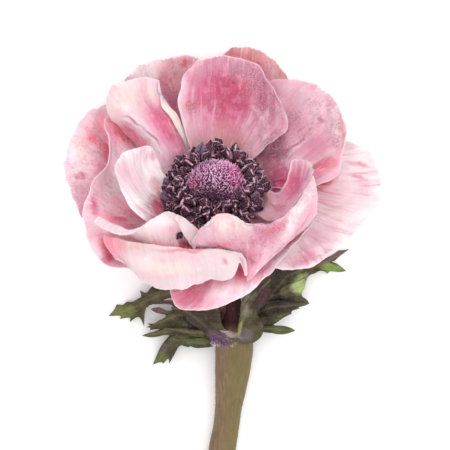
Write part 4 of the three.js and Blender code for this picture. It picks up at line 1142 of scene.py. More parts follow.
stamens = {
    "seed": 7, "points": 7, "filament": 0.2, "filamentTaper": (1.2, 0.8), "root": (4.4, 0.9),
    "bend": (0.62, 2.2, 1.6, 0.4), "tallTip": 3, "sizes": (0.62, 1.2),
    "rounds": [
        (26, 7.7, 6.2, -0.4), (34, 8.5, 6.6, 0.2), (38, 9.5, 6.8, 1.2), (40, 10.6, 6.6, 2.0),
        (40, 11.7, 6.0, 2.6), (32, 12.6, 5.0, 3.1),
    ],
    "spare": [(34, -0.75, 0.75, 10.0, 13.6, 0.6, 3.0), (16, -2.0, -0.9, 12.0, 14.2, 0.6, 3.6)],
    "faced": [
        (-1.785, 13.2, 4.7, 1.3, 0.0), (-1.375, 12.0, 4.2, 1.3, 0.02), (-1.56, 12.6, 4.4, 1.0, 0.3),
        (0.863, 8.2, 8.0, 1.15, 0.15), (-2.2, 12.4, 5.4, 1.1, 0.3), (-1.9, 11.8, 6.0, 1.0, 0.5),
        (-1.15, 12.4, 4.0, 1.1, 0.3),
    ],
    "antherLong": 3.1, "antherWide": 2.35, "antherThick": 1.3, "groove": 0.62,
    "kinds": [
        (0.35, 0.0, 0.25), (0.8, 0.35, 0.4), (-0.5, -0.3, 0.1), (1.1, 0.15, 0.3), (0.1, 0.6, 0.55),
    ],
    "fallen": {
        "above": [-9.7, -8.8, 30.0], "lift": 0.6, "spin": -0.7, "tip": 1.2, "size": 0.85,
        "tone": 0.6,
    },
    "shades": {
        "dark": hue(12, 5, 14), "warm": hue(66, 26, 44), "plum": hue(44, 20, 48),
        "grey": hue(134, 122, 146), "rim": hue(244, 204, 222), "groove": hue(12, 6, 12),
        "crumb": hue(232, 160, 196), "filament": hue(58, 28, 36), "dryFilament": hue(158, 96, 72),
    },
}


def antherTemplate(arch, skew, taper):
    # two lobes with a groove between, dried to a bent and twisted husk
    deselectAll()
    bpy.ops.mesh.primitive_uv_sphere_add(segments=12, ring_count=6, radius=1)
    template = named("anther")
    points = np.array([vertex.co for vertex in template.data.vertices])
    girth = np.sqrt(np.maximum(1 - points[:, 2] ** 2, 0.05))
    aside = points[:, 0] / girth
    inGroove = np.exp(-((aside / 0.3) ** 2)) * (1 - points[:, 2] ** 2)
    points[:, 1] *= 1 - stamens["groove"] * inGroove
    points[:, 0] *= 1 - taper * smoothStep(0.2, 1.0, points[:, 2])
    points[:, 0] *= 1 + 0.16 * np.sin(5 * points[:, 2] + 3 * skew)
    points[:, 1] += arch * (points[:, 2] ** 2 - 0.4) + skew * points[:, 0] * points[:, 2]
    points[:, 1] += 0.14 * np.sin(7 * points[:, 2] + 4 * aside)
    size = [stamens["antherWide"] / 2, stamens["antherThick"] / 2, stamens["antherLong"] / 2]
    movedTo(template, points * size)
    marked(template, "ridge", np.abs(aside))
    return template


def antherFinish():
    finish = Finish("antherSkin")
    tints = stamens["shades"]
    tone, ridge = finish.part("tone"), finish.part("ridge")
    grain = finish.noise(finish.here, 1.6, 3.0, 0.7)
    crumbs = finish.noise(finish.here, 5.0, 2.0, 0.7)
    colour = finish.tinted(tints["dark"], tints["warm"], tone, 0.45, 0.9, 0.85)
    colour = finish.tinted(colour, tints["plum"], tone, 0.3, 0.1, 0.7)
    colour = finish.tinted(colour, tints["grey"], tone, 0.08, 0.0, 0.7)
    # pale rims on the valve edges, partly their own colour and partly a painted highlight, and a
    # near-black groove between the lobes, painted shade
    colour = finish.tinted(colour, tints["rim"], ridge, 0.8, 0.98, finish.step(grain, 0.38, 0.5))
    colour = finish.tinted(colour, tints["groove"], ridge, 0.2, 0.06, 0.9)
    colour = finish.tinted(colour, tints["crumb"], crumbs, 0.54, 0.62, 0.6)
    return finish.finished(colour, 0.4, grain + crumbs, 0.3, Specular_IOR_Level=0.22)


def filamentFinish():
    finish = Finish("filamentSkin")
    tints = stamens["shades"]
    grain = finish.noise(finish.here, 0.9, 3.0)
    colour = finish.tinted(tints["filament"], tints["dryFilament"], grain, 0.4, 0.65)
    return finish.finished(colour, 0.5, Specular_IOR_Level=0.25)


def stamenTips(chance):
    # each anther's angle round the dome, reach and rise, and a faced one's size and tone
    tips = []
    for number, (count, reach, rise, lean) in enumerate(stamens["rounds"]):
        for i in range(count):
            angle = 2 * math.pi * (i + 0.37 * number + chance.uniform(-0.3, 0.3)) / count
            high = rise - lean * math.cos(angle) + chance.uniform(-1.1, 1.1)
            tips.append((angle, reach + chance.uniform(-0.6, 0.8), high))
    for count, *limits in stamens["spare"]:
        for _ in range(count):
            tips.append([chance.uniform(*pair) for pair in zip(limits[::2], limits[1::2])])
    return tips + stamens["faced"]


def roundDome(radius, level, turn):
    # a place in the bloom's own frame. Turn nought is at the front.
    return np.array([math.sin(turn) * radius, -math.cos(turn) * radius, level])


def fallenAnther():
    # where the spare anther lies, on top of a front petal
    fallen = stamens["fallen"]
    above = Vector((receptacle + np.array(fallen["above"])) * millimetre)
    petal = bpy.data.objects["petal_front_left.fine"]
    _, lying, _, _ = petal.ray_cast(above, Vector((0, 0, -1)))
    place = Matrix.Translation(lying + Vector((0, 0, fallen["lift"] * millimetre)))
    turned = Matrix.Rotation(fallen["spin"], 4, "Z") @ Matrix.Rotation(fallen["tip"], 4, "X")
    return place @ turned @ Matrix.Scale(fallen["size"], 4)


def makeStamens():
    chance = random.Random(stamens["seed"])
    paths, radii, matrices, tones = [], [], [], []
    tilt = np.array(fromBloom(np.eye(3)) - receptacle).T
    toCamera = np.array([0, -math.sin(bloomTilt), math.cos(bloomTilt)])
    rootReach, rootLevel = stamens["root"]
    bendShare, bendPast, highBend, lowBend = stamens["bend"]
    count = stamens["points"]
    for angle, far, high, *faced in stamenTips(chance):
        root = roundDome(rootReach, rootLevel, angle)
        bendLevel = highBend if high > stamens["tallTip"] else lowBend
        bend = roundDome(far * bendShare + bendPast, bendLevel, angle)
        tip = roundDome(far, high, angle + chance.uniform(-0.09, 0.09))
        path = bentPath(root, bend, tip, count)
        paths.append(fromBloom(path))
        radii.append(np.linspace(*stamens["filamentTaper"], count) * stamens["filament"])
        loose = 0.0 if faced else 1.0
        along = unit(unit(path[-1] - path[-2]) + swayed(chance, 0.8 * loose))
        facing = toCamera + swayed(chance, 0.5 * loose)
        side = unit(np.cross(along, facing))
        if faced:
            along = np.cross(facing, side)
        size, tone = faced or (chance.uniform(*stamens["sizes"]), chance.random())
        tones.append(tone)
        matrix = np.eye(4)
        matrix[:3, :3] = tilt @ np.stack([side, np.cross(along, side), along], axis=1) * size
        middle = path[-1] + along * stamens["antherLong"] * 0.3 * size
        matrix[:3, 3] = fromBloom(middle) * millimetre
        matrices.append(Matrix(matrix))
    matrices.append(fallenAnther())
    tones.append(stamens["fallen"]["tone"])
    filaments = strands("stamens.filaments", paths, radii, 6)
    wear(filaments, filamentFinish())
    smoothed(filaments)
    templates = [antherTemplate(*kind) for kind in stamens["kinds"]]
    anthers = scattered("stamens.anthers", templates, matrices, tones, chance)
    wear(anthers, antherFinish())
    smoothed(anthers, 60)
    mounted(filaments, "stamen", "stamens")
    mounted(anthers, "stamen", "stamens")
    print("stamens made")


makeStamens()

# Seed dome: a smooth head on a short neck, covered all over by small bent styles. profile is
# radius, height. A wash of the styles is shade, right, up, wide, tall, turn, strength.

dome = {
    "seed": 11, "styles": 2100, "styleLong": 0.95, "styleRadius": 0.115, "lowest": 0.62,
    "lengths": (0.75, 1.2), "sunk": 0.15, "sway": 0.9, "lean": (0.2, 0.35, 0.3), "half": 0.55,
    "taper": (1.15, 1.1, 0.95, 0.45),
    "profile": [
        (0.0, 11.7), (2.0, 11.55), (3.6, 11.1), (5.1, 10.3), (6.3, 9.2), (7.0, 7.9), (7.2, 6.5),
        (6.8, 5.1), (5.8, 3.8), (4.5, 2.8), (3.5, 1.8), (3.35, 0.9), (0.0, 0.3),
    ],
    "washes": [
        # the palest wash (2.0, 7.6) is a painted highlight on the dome's upper side
        (hue(250, 168, 220), 2.0, 7.6, 8.0, 5.8, -20, 0.95),
        (hue(240, 100, 178), 5.4, 6.6, 2.8, 5.4, 20, 0.7),
        (hue(222, 90, 150), -5.6, 4.8, 2.8, 3.4, 0, 0.6),
        (hue(214, 180, 210), 0.2, 6.4, 4.6, 2.6, 0, 0.5),
        # the darkest wash (-1.4, -0.6) is painted shade over the dome's lower part
        (hue(36, 16, 36), -1.4, -0.6, 10.0, 7.0, 0, 1.0),
        (hue(150, 70, 90), 7.0, 7.0, 1.6, 4.0, 20, 0.6),
        (hue(64, 34, 62), -3.8, 11.0, 6.0, 1.5, 0, 0.5),
    ],
    "shades": {
        "skin": hue(44, 16, 38), "skinLight": hue(96, 38, 76), "style": hue(176, 100, 148),
        "stylePale": hue(232, 178, 214), "bright": hue(255, 226, 246), "dull": hue(84, 26, 66),
        "root": hue(40, 14, 34),
    },
}


def domeFinish():
    finish = Finish("domeSkin")
    grain = finish.noise(finish.here, 1.5, 3.0)
    colour = finish.mix(grain, dome["shades"]["skin"], dome["shades"]["skinLight"])
    return finish.finished(colour, 0.6, grain, 0.2, Specular_IOR_Level=0.2)


def styleFinish():
    finish = Finish("styleSkin")
    tints = dome["shades"]
    here = finish.warped(finish.here, 0.5, 0.8)
    tone, along = finish.part("tone"), finish.part("along")
    fine = finish.noise(finish.here, 1.3, 3.0)
    colour = finish.tinted(tints["style"], tints["stylePale"], fine, 0.35, 0.65)
    for shade, *oval, strength in dome["washes"]:
        colour = finish.tinted(colour, shade, finish.spot(here, *oval), 0.0, 0.75, strength)
    # painted highlight: the styles are lighter in an oval on the dome's upper side
    paintedHighlight = finish.step(finish.spot(here, 1.0, 7.6, 9.0, 6.4), 0.0, 0.6)
    colour = finish.tinted(colour, tints["bright"], tone, 0.45, 0.9, 0.2 + paintedHighlight * 0.6)
    colour = finish.tinted(colour, tints["dull"], tone, 0.35, 0.0, 0.8)
    # styles darker towards their roots, where they crowd together: painted shade
    colour = finish.tinted(colour, tints["root"], along, 0.6, 0.1, 0.9)
    return finish.finished(
        colour, 0.5, Subsurface_Weight=0.1, Subsurface_Scale=0.0004, Specular_IOR_Level=0.3,
    )


def makeStyles(profile):
    # styles stand at even spacing down the profile, by the area that each ring of it covers
    chance = random.Random(dome["seed"])
    fine = curveThrough(profile, np.linspace(0, dome["lowest"], 400))
    areas = np.linalg.norm(np.diff(fine, axis=0), axis=1) * (fine[1:, 0] + fine[:-1, 0])
    reached = np.concatenate([[0], np.cumsum(areas)])
    paths = []
    golden = math.pi * (3 - math.sqrt(5))
    for i in range(dome["styles"]):
        at = (i + 0.5) / dome["styles"] * reached[-1]
        k = np.clip(np.searchsorted(reached, at) - 1, 0, len(areas) - 1)
        part = (at - reached[k]) / max(areas[k], 1e-9)
        radius, _, height = fine[k] * (1 - part) + fine[k + 1] * part
        slope = unit(fine[k + 1] - fine[k])
        outward = np.array([math.cos(i * golden), math.sin(i * golden), 0])
        normal = unit(outward * -slope[2] + np.array([0, 0, 1]) * slope[0])
        root = outward * radius + np.array([0, 0, height]) - normal * dome["sunk"]
        sway = swayed(chance, dome["sway"]) + np.array(dome["lean"])
        long = dome["styleLong"] * chance.uniform(*dome["lengths"])
        knee = root + unit(normal + 0.3 * sway) * long * dome["half"]
        end = knee + unit(normal * 0.5 + sway) * long * dome["half"]
        paths.append(fromBloom(bentPath(root, knee, end, len(dome["taper"]))))
    radii = [np.array(dome["taper"]) * dome["styleRadius"]] * len(paths)
    return strands("pistil.styles", paths, radii, 4)


def makeDome():
    profile = np.array([(radius, 0.0, height) for radius, height in dome["profile"]])
    deselectAll()
    bpy.ops.mesh.primitive_uv_sphere_add(segments=48, ring_count=26, radius=1)
    body = named("pistil.dome")
    points = np.array([vertex.co for vertex in body.data.vertices])
    polar = np.arccos(np.clip(points[:, 2], -1, 1)) / math.pi
    turns = np.arctan2(points[:, 1], points[:, 0])
    outline = curveThrough(profile, polar)
    ring = np.maximum(outline[:, 0], 0)
    shell = np.stack([ring * np.cos(turns), ring * np.sin(turns), outline[:, 2]], axis=1)
    movedTo(body, fromBloom(shell))
    wear(body, domeFinish())
    smoothed(body, 80)
    styles = makeStyles(profile)
    wear(styles, styleFinish())
    smoothed(styles, 80)
    mounted(body, "seed_dome", "pistil")
    mounted(styles, "seed_dome", "pistil")
    print("seed dome made")


makeDome()

# Leaves: each is cut to its lobed outline from a thin arched blade, and has leaflets of its own on
# top. corners are the blade's left, front, right and back. gap is a hole through it. A leaflet is
# its spine, its widths down the spine, and its lift above the blade. A wash is shade, right, up,
# wide, tall, turn, strength.

collar = np.array([4.6, -36.0])


def droopingBlade(start, slope, hump, humpLong, droop):
    def height(right, up):
        far = np.hypot(right - collar[0], up - collar[1])
        hill = hump * np.sin(math.pi * far / humpLong)
        return start + slope * (up - collar[1]) + hill - droop * far * far
    return height


def saddleBlade(crest, stoop, fade, rise, past):
    def height(right, up):
        drop = stoop * (right - collar[0]) ** 2 * np.exp(-fade * (up - collar[1] + past))
        return crest - drop + rise * np.maximum(up - collar[1] - past, 0)
    return height


leafMake = {
    "seed": 70, "cell": 0.5, "thickness": 0.42, "relief": 0.22, "swells": 9,
    "swellLong": (0.12, 0.3), "cutterLow": -20.0, "cutterHigh": 60.0, "veinDip": 1.1,
    "veinWide": 0.55, "veinMark": 0.3, "sharp": 62, "rows": 34, "columns": 8, "tipHalf": 0.12,
    "teeth": 4.0, "toothDepth": 0.22, "curlUp": 0.25, "ripple": 0.12, "lowest": 0.7,
}
leaves = {
    "leaf_left": {
        "slot": "leaf", "corners": [-30.5, -45.0, -0.4, -20.5],
        "height": droopingBlade(4.6, 0.3, 2.4, 34, 0.0085),
        "outline": [
            [-0.5, -37.8], [-2.5, -38.2], [-5.0, -37.8], [-8.0, -38.0], [-10.0, -38.3],
            [-10.8, -40.0], [-12.6, -43.2], [-12.7, -41.4], [-14.1, -43.1], [-14.9, -42.6],
            [-17.0, -43.4], [-16.0, -41.0], [-15.0, -38.6], [-13.6, -36.8], [-12.2, -35.2],
            [-13.5, -35.3], [-16.0, -36.0], [-18.0, -36.1], [-20.0, -35.6], [-18.3, -34.9],
            [-16.0, -34.4], [-14.4, -34.0], [-16.2, -33.8], [-17.9, -34.2], [-17.5, -33.5],
            [-18.9, -33.3], [-17.5, -32.9], [-18.6, -32.3], [-16.6, -32.4], [-15.2, -32.2],
            [-14.0, -31.2], [-13.2, -30.0], [-14.5, -29.8], [-16.4, -29.4], [-17.6, -28.4],
            [-15.5, -27.8], [-14.4, -28.2], [-13.0, -29.0], [-10.6, -28.3], [-12.4, -27.0],
            [-15.5, -27.2], [-18.4, -27.1], [-19.2, -29.5], [-19.3, -33.2], [-20.4, -30.6],
            [-21.4, -30.6], [-23.2, -32.0], [-22.9, -30.6], [-25.9, -31.2], [-25.3, -30.2],
            [-28.9, -30.4], [-27.4, -28.8], [-26.7, -27.3], [-25.0, -27.5], [-24.0, -26.4],
            [-22.5, -26.7], [-20.9, -25.6], [-19.9, -25.2], [-20.5, -23.4], [-18.7, -24.3],
            [-17.8, -23.0], [-16.8, -22.0], [-15.4, -22.5], [-13.5, -22.4], [-11.2, -22.0],
            [-7.5, -21.5], [-5.0, -24.5], [-2.6, -28.5], [-0.9, -33.5],
        ],
        "gap": [[-15.8, -25.5], [-14.4, -26.1], [-11.0, -26.0], [-11.4, -24.6], [-13.2, -24.3]],
        "veins": [
            [[-1.5, -35.2], [-6.0, -34.6], [-11.0, -34.4], [-14.5, -34.9], [-19.4, -35.6]],
            [[-1.5, -35.6], [-7.0, -36.2], [-11.5, -37.0], [-14.0, -40.0], [-16.6, -43.0]],
            [[-2.0, -34.0], [-7.0, -31.5], [-12.0, -31.5], [-15.5, -33.0], [-18.6, -33.2]],
            [[-7.0, -31.5], [-11.0, -29.8], [-14.0, -29.2], [-17.2, -28.5]],
            [[-2.2, -32.0], [-6.0, -27.0], [-10.0, -24.0], [-16.0, -25.0], [-21.0, -28.0],
             [-28.4, -30.2]],
            [[-16.0, -25.0], [-18.5, -24.8], [-20.3, -23.6]],
            [[-21.0, -28.0], [-24.0, -29.5], [-25.6, -31.0]],
            [[-18.0, -26.2], [-19.2, -29.0], [-19.3, -32.8]],
            [[-20.0, -27.5], [-22.0, -27.2], [-24.6, -27.2]],
        ],
        "leaflets": [
            ([[-0.6, -35.6], [-5.0, -34.9], [-10.0, -34.2], [-14.0, -33.6]],
             [1.6, 2.0, 1.6, 0.3], 1.5),
            ([[-1.0, -37.4], [-5.6, -37.5], [-10.0, -37.0], [-12.4, -36.0]],
             [2.2, 2.8, 2.2, 0.3], 0.9),
            ([[-1.0, -31.6], [-5.6, -30.6], [-9.6, -28.8], [-12.0, -28.0]],
             [2.4, 3.4, 2.4, 0.4], 0.8),
            ([[-4.0, -35.4], [-9.0, -34.6], [-14.0, -34.6], [-18.6, -35.5]],
             [1.8, 2.2, 2.0, 0.3], 0.9),
            ([[-5.5, -36.6], [-10.0, -36.6], [-13.2, -39.0], [-15.6, -42.6]],
             [2.0, 3.2, 3.2, 0.3], 0.8),
            ([[-6.0, -30.4], [-10.4, -30.2], [-14.0, -31.6], [-17.4, -33.0]],
             [2.2, 3.0, 1.6, 0.3], 0.7),
            ([[-11.0, -24.0], [-16.0, -25.2], [-21.0, -27.6], [-27.0, -30.0]],
             [2.0, 2.8, 3.0, 0.3], 0.8),
            ([[-3.0, -35.0], [-0.8, -32.2], [1.0, -29.4], [2.2, -26.4]],
             [2.6, 3.8, 3.6, 1.2], -1.2),
        ],
        "washes": [
            (hue(126, 136, 70), -25.0, -29.4, 5.5, 2.6, 10, 0.7),
            (hue(110, 124, 66), -15.0, -41.5, 2.6, 2.6, 0, 0.7),
            (hue(104, 74, 84), -14.4, -38.6, 1.5, 2.0, -20, 0.7),
            (hue(112, 78, 88), -16.0, -28.8, 2.6, 1.6, 0, 0.8),
            (hue(88, 66, 66), -14.0, -26.6, 3.4, 0.9, 0, 0.8),
            (hue(112, 116, 96), -5.5, -31.5, 5.0, 3.6, 0, 0.6),
            (hue(84, 96, 54), -6.0, -37.0, 5.5, 1.6, 0, 0.7),
            (hue(96, 100, 66), -18.0, -35.6, 3.0, 1.0, 0, 0.6),
            (hue(116, 100, 84), -5.0, -34.6, 6.5, 0.7, 0, 0.6),
            (hue(96, 44, 58), 0.8, -30.0, 2.4, 4.4, -20, 0.9),
        ],
    },
    "leaf_right": {
        "slot": "leaf", "corners": [8.2, -38.0, 36.5, -11.5],
        "height": droopingBlade(4.6, 0.16, 2.2, 34, 0.0072),
        "outline": [
            [10.1, -37.6], [11.2, -36.6], [12.2, -35.4], [12.9, -33.6], [14.2, -34.4],
            [15.5, -35.1], [17.5, -35.3], [19.5, -35.0], [21.3, -34.2], [19.8, -33.3],
            [17.5, -32.8], [15.0, -32.9], [16.5, -31.9], [18.3, -30.6], [20.2, -29.8],
            [20.2, -28.9], [22.4, -28.3], [21.2, -27.2], [22.6, -27.2], [25.1, -27.1],
            [24.5, -25.9], [22.8, -25.0], [23.3, -22.8], [24.7, -19.4], [26.7, -18.9],
            [27.5, -18.2], [29.0, -18.2], [29.9, -19.0], [30.6, -18.2], [32.7, -18.6],
            [35.0, -18.3], [33.2, -16.7], [31.3, -15.8], [29.6, -15.9], [32.0, -14.9],
            [34.0, -13.7], [35.8, -12.4], [34.4, -12.7], [32.8, -12.7], [32.0, -13.5],
            [30.0, -14.6], [27.5, -15.6], [24.0, -15.6], [19.0, -15.8], [14.0, -17.5],
            [10.0, -21.5], [8.6, -26.0], [8.6, -30.0], [9.8, -33.6],
        ],
        "gap": None,
        "veins": [
            [[10.2, -34.6], [13.0, -33.4], [17.0, -34.0], [20.8, -34.2]],
            [[10.2, -33.6], [14.0, -29.6], [18.0, -28.0], [24.6, -27.0]],
            [[10.4, -31.0], [15.0, -25.0], [20.0, -22.5], [24.2, -20.0]],
            [[14.0, -26.0], [19.0, -19.6], [26.0, -16.8], [35.2, -12.6]],
            [[26.0, -17.0], [30.0, -17.0], [34.6, -18.2]],
            [[14.0, -29.6], [17.0, -30.4], [19.8, -29.6]],
            [[18.0, -28.0], [20.0, -28.4], [22.0, -28.2]],
        ],
        "leaflets": [
            ([[11.0, -33.8], [14.0, -33.8], [17.5, -34.1], [21.0, -34.2]],
             [1.2, 2.0, 2.2, 0.3], 0.7),
            ([[10.4, -30.0], [15.0, -28.0], [19.5, -27.6], [24.6, -27.0]],
             [2.6, 4.2, 2.6, 0.3], 0.8),
            ([[15.5, -25.0], [19.5, -23.6], [22.5, -22.2], [24.2, -19.8]],
             [1.2, 3.6, 3.6, 0.5], 1.4),
            ([[24.0, -17.6], [28.0, -16.6], [32.0, -14.6], [35.2, -12.6]],
             [0.9, 1.1, 1.3, 0.2], 0.7),
            ([[26.5, -17.4], [29.0, -17.0], [32.0, -17.2], [34.6, -18.2]],
             [0.8, 1.8, 2.2, 0.3], 0.6),
        ],
        "washes": [
            # pale green at (22.8, -21.8): light shining through the lobe, painted light
            (hue(166, 184, 124), 22.8, -21.8, 3.9, 3.4, 50, 1.0),
            (hue(132, 162, 82), 31.0, -17.3, 4.6, 1.7, -6, 0.95),
            (hue(112, 92, 92), 31.0, -14.6, 6.0, 1.3, 28, 0.9),
            (hue(96, 66, 76), 13.2, -24.4, 2.4, 3.6, -20, 0.8),
            (hue(98, 112, 62), 17.5, -34.0, 4.4, 1.5, 0, 0.7),
            (hue(118, 108, 112), 11.0, -35.0, 2.2, 3.4, 0, 0.7),
            # dark at (18.5, -19.0): painted shadow on the leaf
            (hue(46, 44, 36), 18.5, -19.0, 5.0, 4.0, 20, 0.8),
            (hue(92, 100, 64), 22.5, -27.0, 3.0, 1.5, 0, 0.6),
        ],
    },
    "leaf_front": {
        "slot": "leaf_bright", "corners": [-11.0, -38.8, 15.5, -19.0],
        "height": saddleBlade(10.4, 0.036, 0.12, 0.16, 2),
        "outline": [
            [-1.6, -36.6], [0.4, -37.8], [2.2, -38.3], [4.0, -37.2], [6.2, -37.6], [8.8, -37.7],
            [11.0, -37.0], [12.5, -35.4], [12.8, -33.4], [12.0, -31.2], [10.9, -29.6],
            [11.8, -28.2], [13.4, -27.0], [14.8, -24.4], [14.4, -21.6], [13.4, -20.6],
            [11.0, -21.6], [8.5, -23.8], [6.8, -25.6], [6.4, -29.5], [6.0, -33.2], [4.4, -34.8],
            [2.2, -34.0], [1.2, -31.4], [0.8, -28.0], [-0.4, -25.0], [-3.6, -23.6], [-7.4, -24.6],
            [-9.8, -26.6], [-8.8, -29.4], [-7.8, -31.6], [-5.0, -33.4], [-3.0, -34.8],
        ],
        "gap": None,
        "veins": [
            [[5.0, -36.6], [7.6, -34.0], [8.2, -29.0], [10.4, -25.0], [13.8, -21.4]],
            [[3.5, -36.6], [-1.0, -35.0], [-4.4, -31.6], [-8.8, -28.6]],
        ],
        "leaflets": [
            ([[6.2, -35.4], [8.0, -29.6], [11.0, -24.6], [14.6, -20.4]],
             [1.4, 2.6, 2.4, 0.4], 0.5),
        ],
        "washes": [
            (hue(138, 134, 116), 9.6, -26.6, 3.2, 6.5, -35, 0.75),
            (hue(112, 104, 108), 8.0, -35.4, 3.0, 2.2, 0, 0.7),
            (hue(92, 58, 90), 0.4, -36.6, 4.6, 3.2, -25, 0.95),
            (hue(172, 158, 140), 4.4, -35.2, 2.4, 1.0, 0, 0.8),
            (hue(112, 116, 96), -5.6, -30.6, 4.4, 3.4, 0, 0.6),
            (hue(150, 146, 80), 6.6, -33.4, 0.6, 3.6, -12, 0.8),
        ],
    },
}


# Shade that lies over all the leaves has no turn, so it is right, up, wide, tall, strength.
leafPaint = {
    "ground": hue(84, 80, 54), "dark": hue(58, 50, 38), "vein": hue(140, 134, 104),
    "down": hue(122, 112, 92), "pit": hue(40, 33, 26), "washUneven": 1.4, "shadeUneven": 1.6,
    "shade": [
        # the three dark browns are painted shadow of the bloom over the leaves; the purplish last
        # one is a patch of a leaf's underside
        (hue(52, 41, 33), -4.0, -30.0, 8.5, 6.5, 0.9),
        (hue(45, 33, 29), 13.5, -27.0, 7.0, 6.5, 0.85),
        (hue(43, 34, 29), 18.0, -28.0, 6.5, 4.4, 0.75),
        (hue(92, 46, 64), 12.4, -23.6, 1.6, 4.4, 0.55),
    ],
}


def leafFinish(name, washes):
    finish = Finish(name)
    here = finish.warped(finish.here, 0.5, 0.7)
    cloud = finish.noise(finish.here, 0.35, 4.0, 0.6)
    colour = finish.tinted(leafPaint["ground"], leafPaint["dark"], cloud, 0.36, 0.66, 0.8)
    layers = ((washes, leafPaint["washUneven"]), (leafPaint["shade"], leafPaint["shadeUneven"]))
    for group, uneven in layers:
        for shade, *oval, strength in group:
            inside = finish.spot(here, *oval) + (cloud - 0.5) * uneven
            colour = finish.tinted(colour, shade, inside, 0.05, 0.6, strength)
    vein = finish.part("vein")
    colour = finish.mix(vein * 0.28, colour, leafPaint["vein"])
    fine = finish.noise(finish.here, 1.8, 4.0, 0.65)
    colour = finish.tinted(colour, leafPaint["down"], fine, 0.48, 0.76, 0.4)
    colour = finish.tinted(colour, leafPaint["pit"], fine, 0.48, 0.28, 0.35)
    return finish.finished(colour, 0.6, fine - vein * 0.4, 0.3, Specular_IOR_Level=0.2)


def lobed(outline):
    # rounds the hollows of an outline and keeps its points sharp
    points = [np.array(point, float) for point in outline]
    signedArea = sum(a[0] * b[1] - b[0] * a[1] for a, b in zip(points, points[1:] + points[:1]))
    sense = 1 if signedArea > 0 else -1
    for _ in range(2):
        cut = []
        for i, here in enumerate(points):
            before, after = points[i - 1], points[(i + 1) % len(points)]
            a, b = here - before, after - here
            turn = math.atan2(a[0] * b[1] - a[1] * b[0], a @ b) * sense
            if turn > math.radians(leafMake["sharp"]):
                cut.append(here)
            else:
                cut += [here - a * 0.25, here + b * 0.25]
        points = cut
    return points


def awayFrom(lines, right, up):
    # how far each place lies from the nearest of some lines
    nearest = np.full(right.shape, 1e3)
    for line in lines:
        line = np.asarray(line, float)
        for start, end in zip(line[:-1], line[1:]):
            run = end - start
            reached = (right - start[0]) * run[0] + (up - start[1]) * run[1]
            share = np.clip(reached / (run @ run), 0, 1)
            away = np.hypot(right - start[0] - share * run[0], up - start[1] - share * run[1])
            nearest = np.minimum(nearest, away)
    return nearest


def bladeHeight(leaf, right, up, swells):
    vein = np.exp(-((awayFrom(leaf["veins"], right, up) / leafMake["veinWide"]) ** 2))
    relief = swells(right, up) - leafMake["veinDip"] * vein
    return leaf["height"](right, up) + leafMake["relief"] * relief


def leafSwells(chance):
    # a leaf's own slow swells, as a function of the place
    phases = [
        (chance.uniform(0, 6.3), chance.uniform(*leafMake["swellLong"]), chance.uniform(0, 6.3))
        for _ in range(leafMake["swells"])
    ]

    def swells(right, up):
        total = 0.0
        for turn, pitch, phase in phases:
            run = right * math.cos(turn) + up * math.sin(turn)
            total = total + np.sin(2 * math.pi * pitch * run + phase)
        return total / 2
    return swells


def leafPrism(outline, bottom, top):
    # an upright prism over an outline, to cut a blade with
    flat = bpy.data.curves.new("outline", "CURVE")
    flat.dimensions = "2D"
    flat.fill_mode = "BOTH"
    flat.extrude = (top - bottom) / 2 * millimetre
    spline = flat.splines.new("POLY")
    spline.points.add(len(outline) - 1)
    for point, (right, up) in zip(spline.points, outline):
        point.co = (right * millimetre, up * millimetre, 0, 1)
    spline.use_cyclic_u = True
    prism = linked("outline", flat)
    prism.location = (0, 0, (top + bottom) / 2 * millimetre)
    chosen(prism)
    bpy.ops.object.convert(target="MESH")
    prism = bpy.context.object
    bpy.ops.object.transform_apply(location=True)
    closed(0.001)
    return prism


def veined(piece, lines):
    # marks how near each point of a leaf lies to its veins
    flat = np.empty(len(piece.data.vertices) * 3, np.float32)
    piece.data.vertices.foreach_get("co", flat)
    points = flat.reshape(-1, 3) / millimetre - receptacle
    away = awayFrom(lines, points[:, 0], points[:, 1])
    marked(piece, "vein", np.exp(-((away / leafMake["veinMark"]) ** 2)))


def makeLeaflet(name, leaf, swells, spine, widths, lift, chance):
    # one more blade along a spine, toothed towards its tip, above the leaf's own
    share = np.linspace(0, 1, leafMake["rows"] + 1)
    spine = np.asarray(spine, float)
    line = curveThrough(np.c_[spine, np.zeros(len(spine))], share)[:, :2]
    wide = np.interp(share, np.linspace(0, 1, len(widths)), widths) / 2
    wide = np.convolve(np.pad(wide, 2, mode="edge"), np.ones(5) / 5, "valid")
    wide[-1] = leafMake["tipHalf"]
    toothed = (share * leafMake["teeth"] + chance.random()) % 1.0
    teeth = 1 - leafMake["toothDepth"] * toothed * smoothStep(0.3, 0.5, share)
    ahead = unit(np.gradient(line, axis=0))
    aside = np.stack([ahead[:, 1], -ahead[:, 0]], axis=1)
    across = np.linspace(-1, 1, leafMake["columns"] + 1)
    flat = line[:, None] + aside[:, None] * (wide * teeth)[:, None, None] * across[None, :, None]
    curl = leafMake["curlUp"] * wide[:, None] * (np.abs(across)[None, :] ** 1.5)
    rise = lift * smoothStep(0.0, 0.25, share)[:, None] + curl
    ripple = leafMake["ripple"] * waves(share, chance, 1, 4)[:, None]
    height = bladeHeight(leaf, flat[..., 0], flat[..., 1], swells) + rise + ripple
    height = np.maximum(height, leafMake["thickness"] * leafMake["lowest"])
    right, up = flat[..., 0] + receptacle[0], flat[..., 1] + receptacle[1]
    piece = gridPiece(name, np.stack([right, up, height], axis=-1))
    thickened(piece, leafMake["thickness"])
    veined(piece, [line])
    return piece


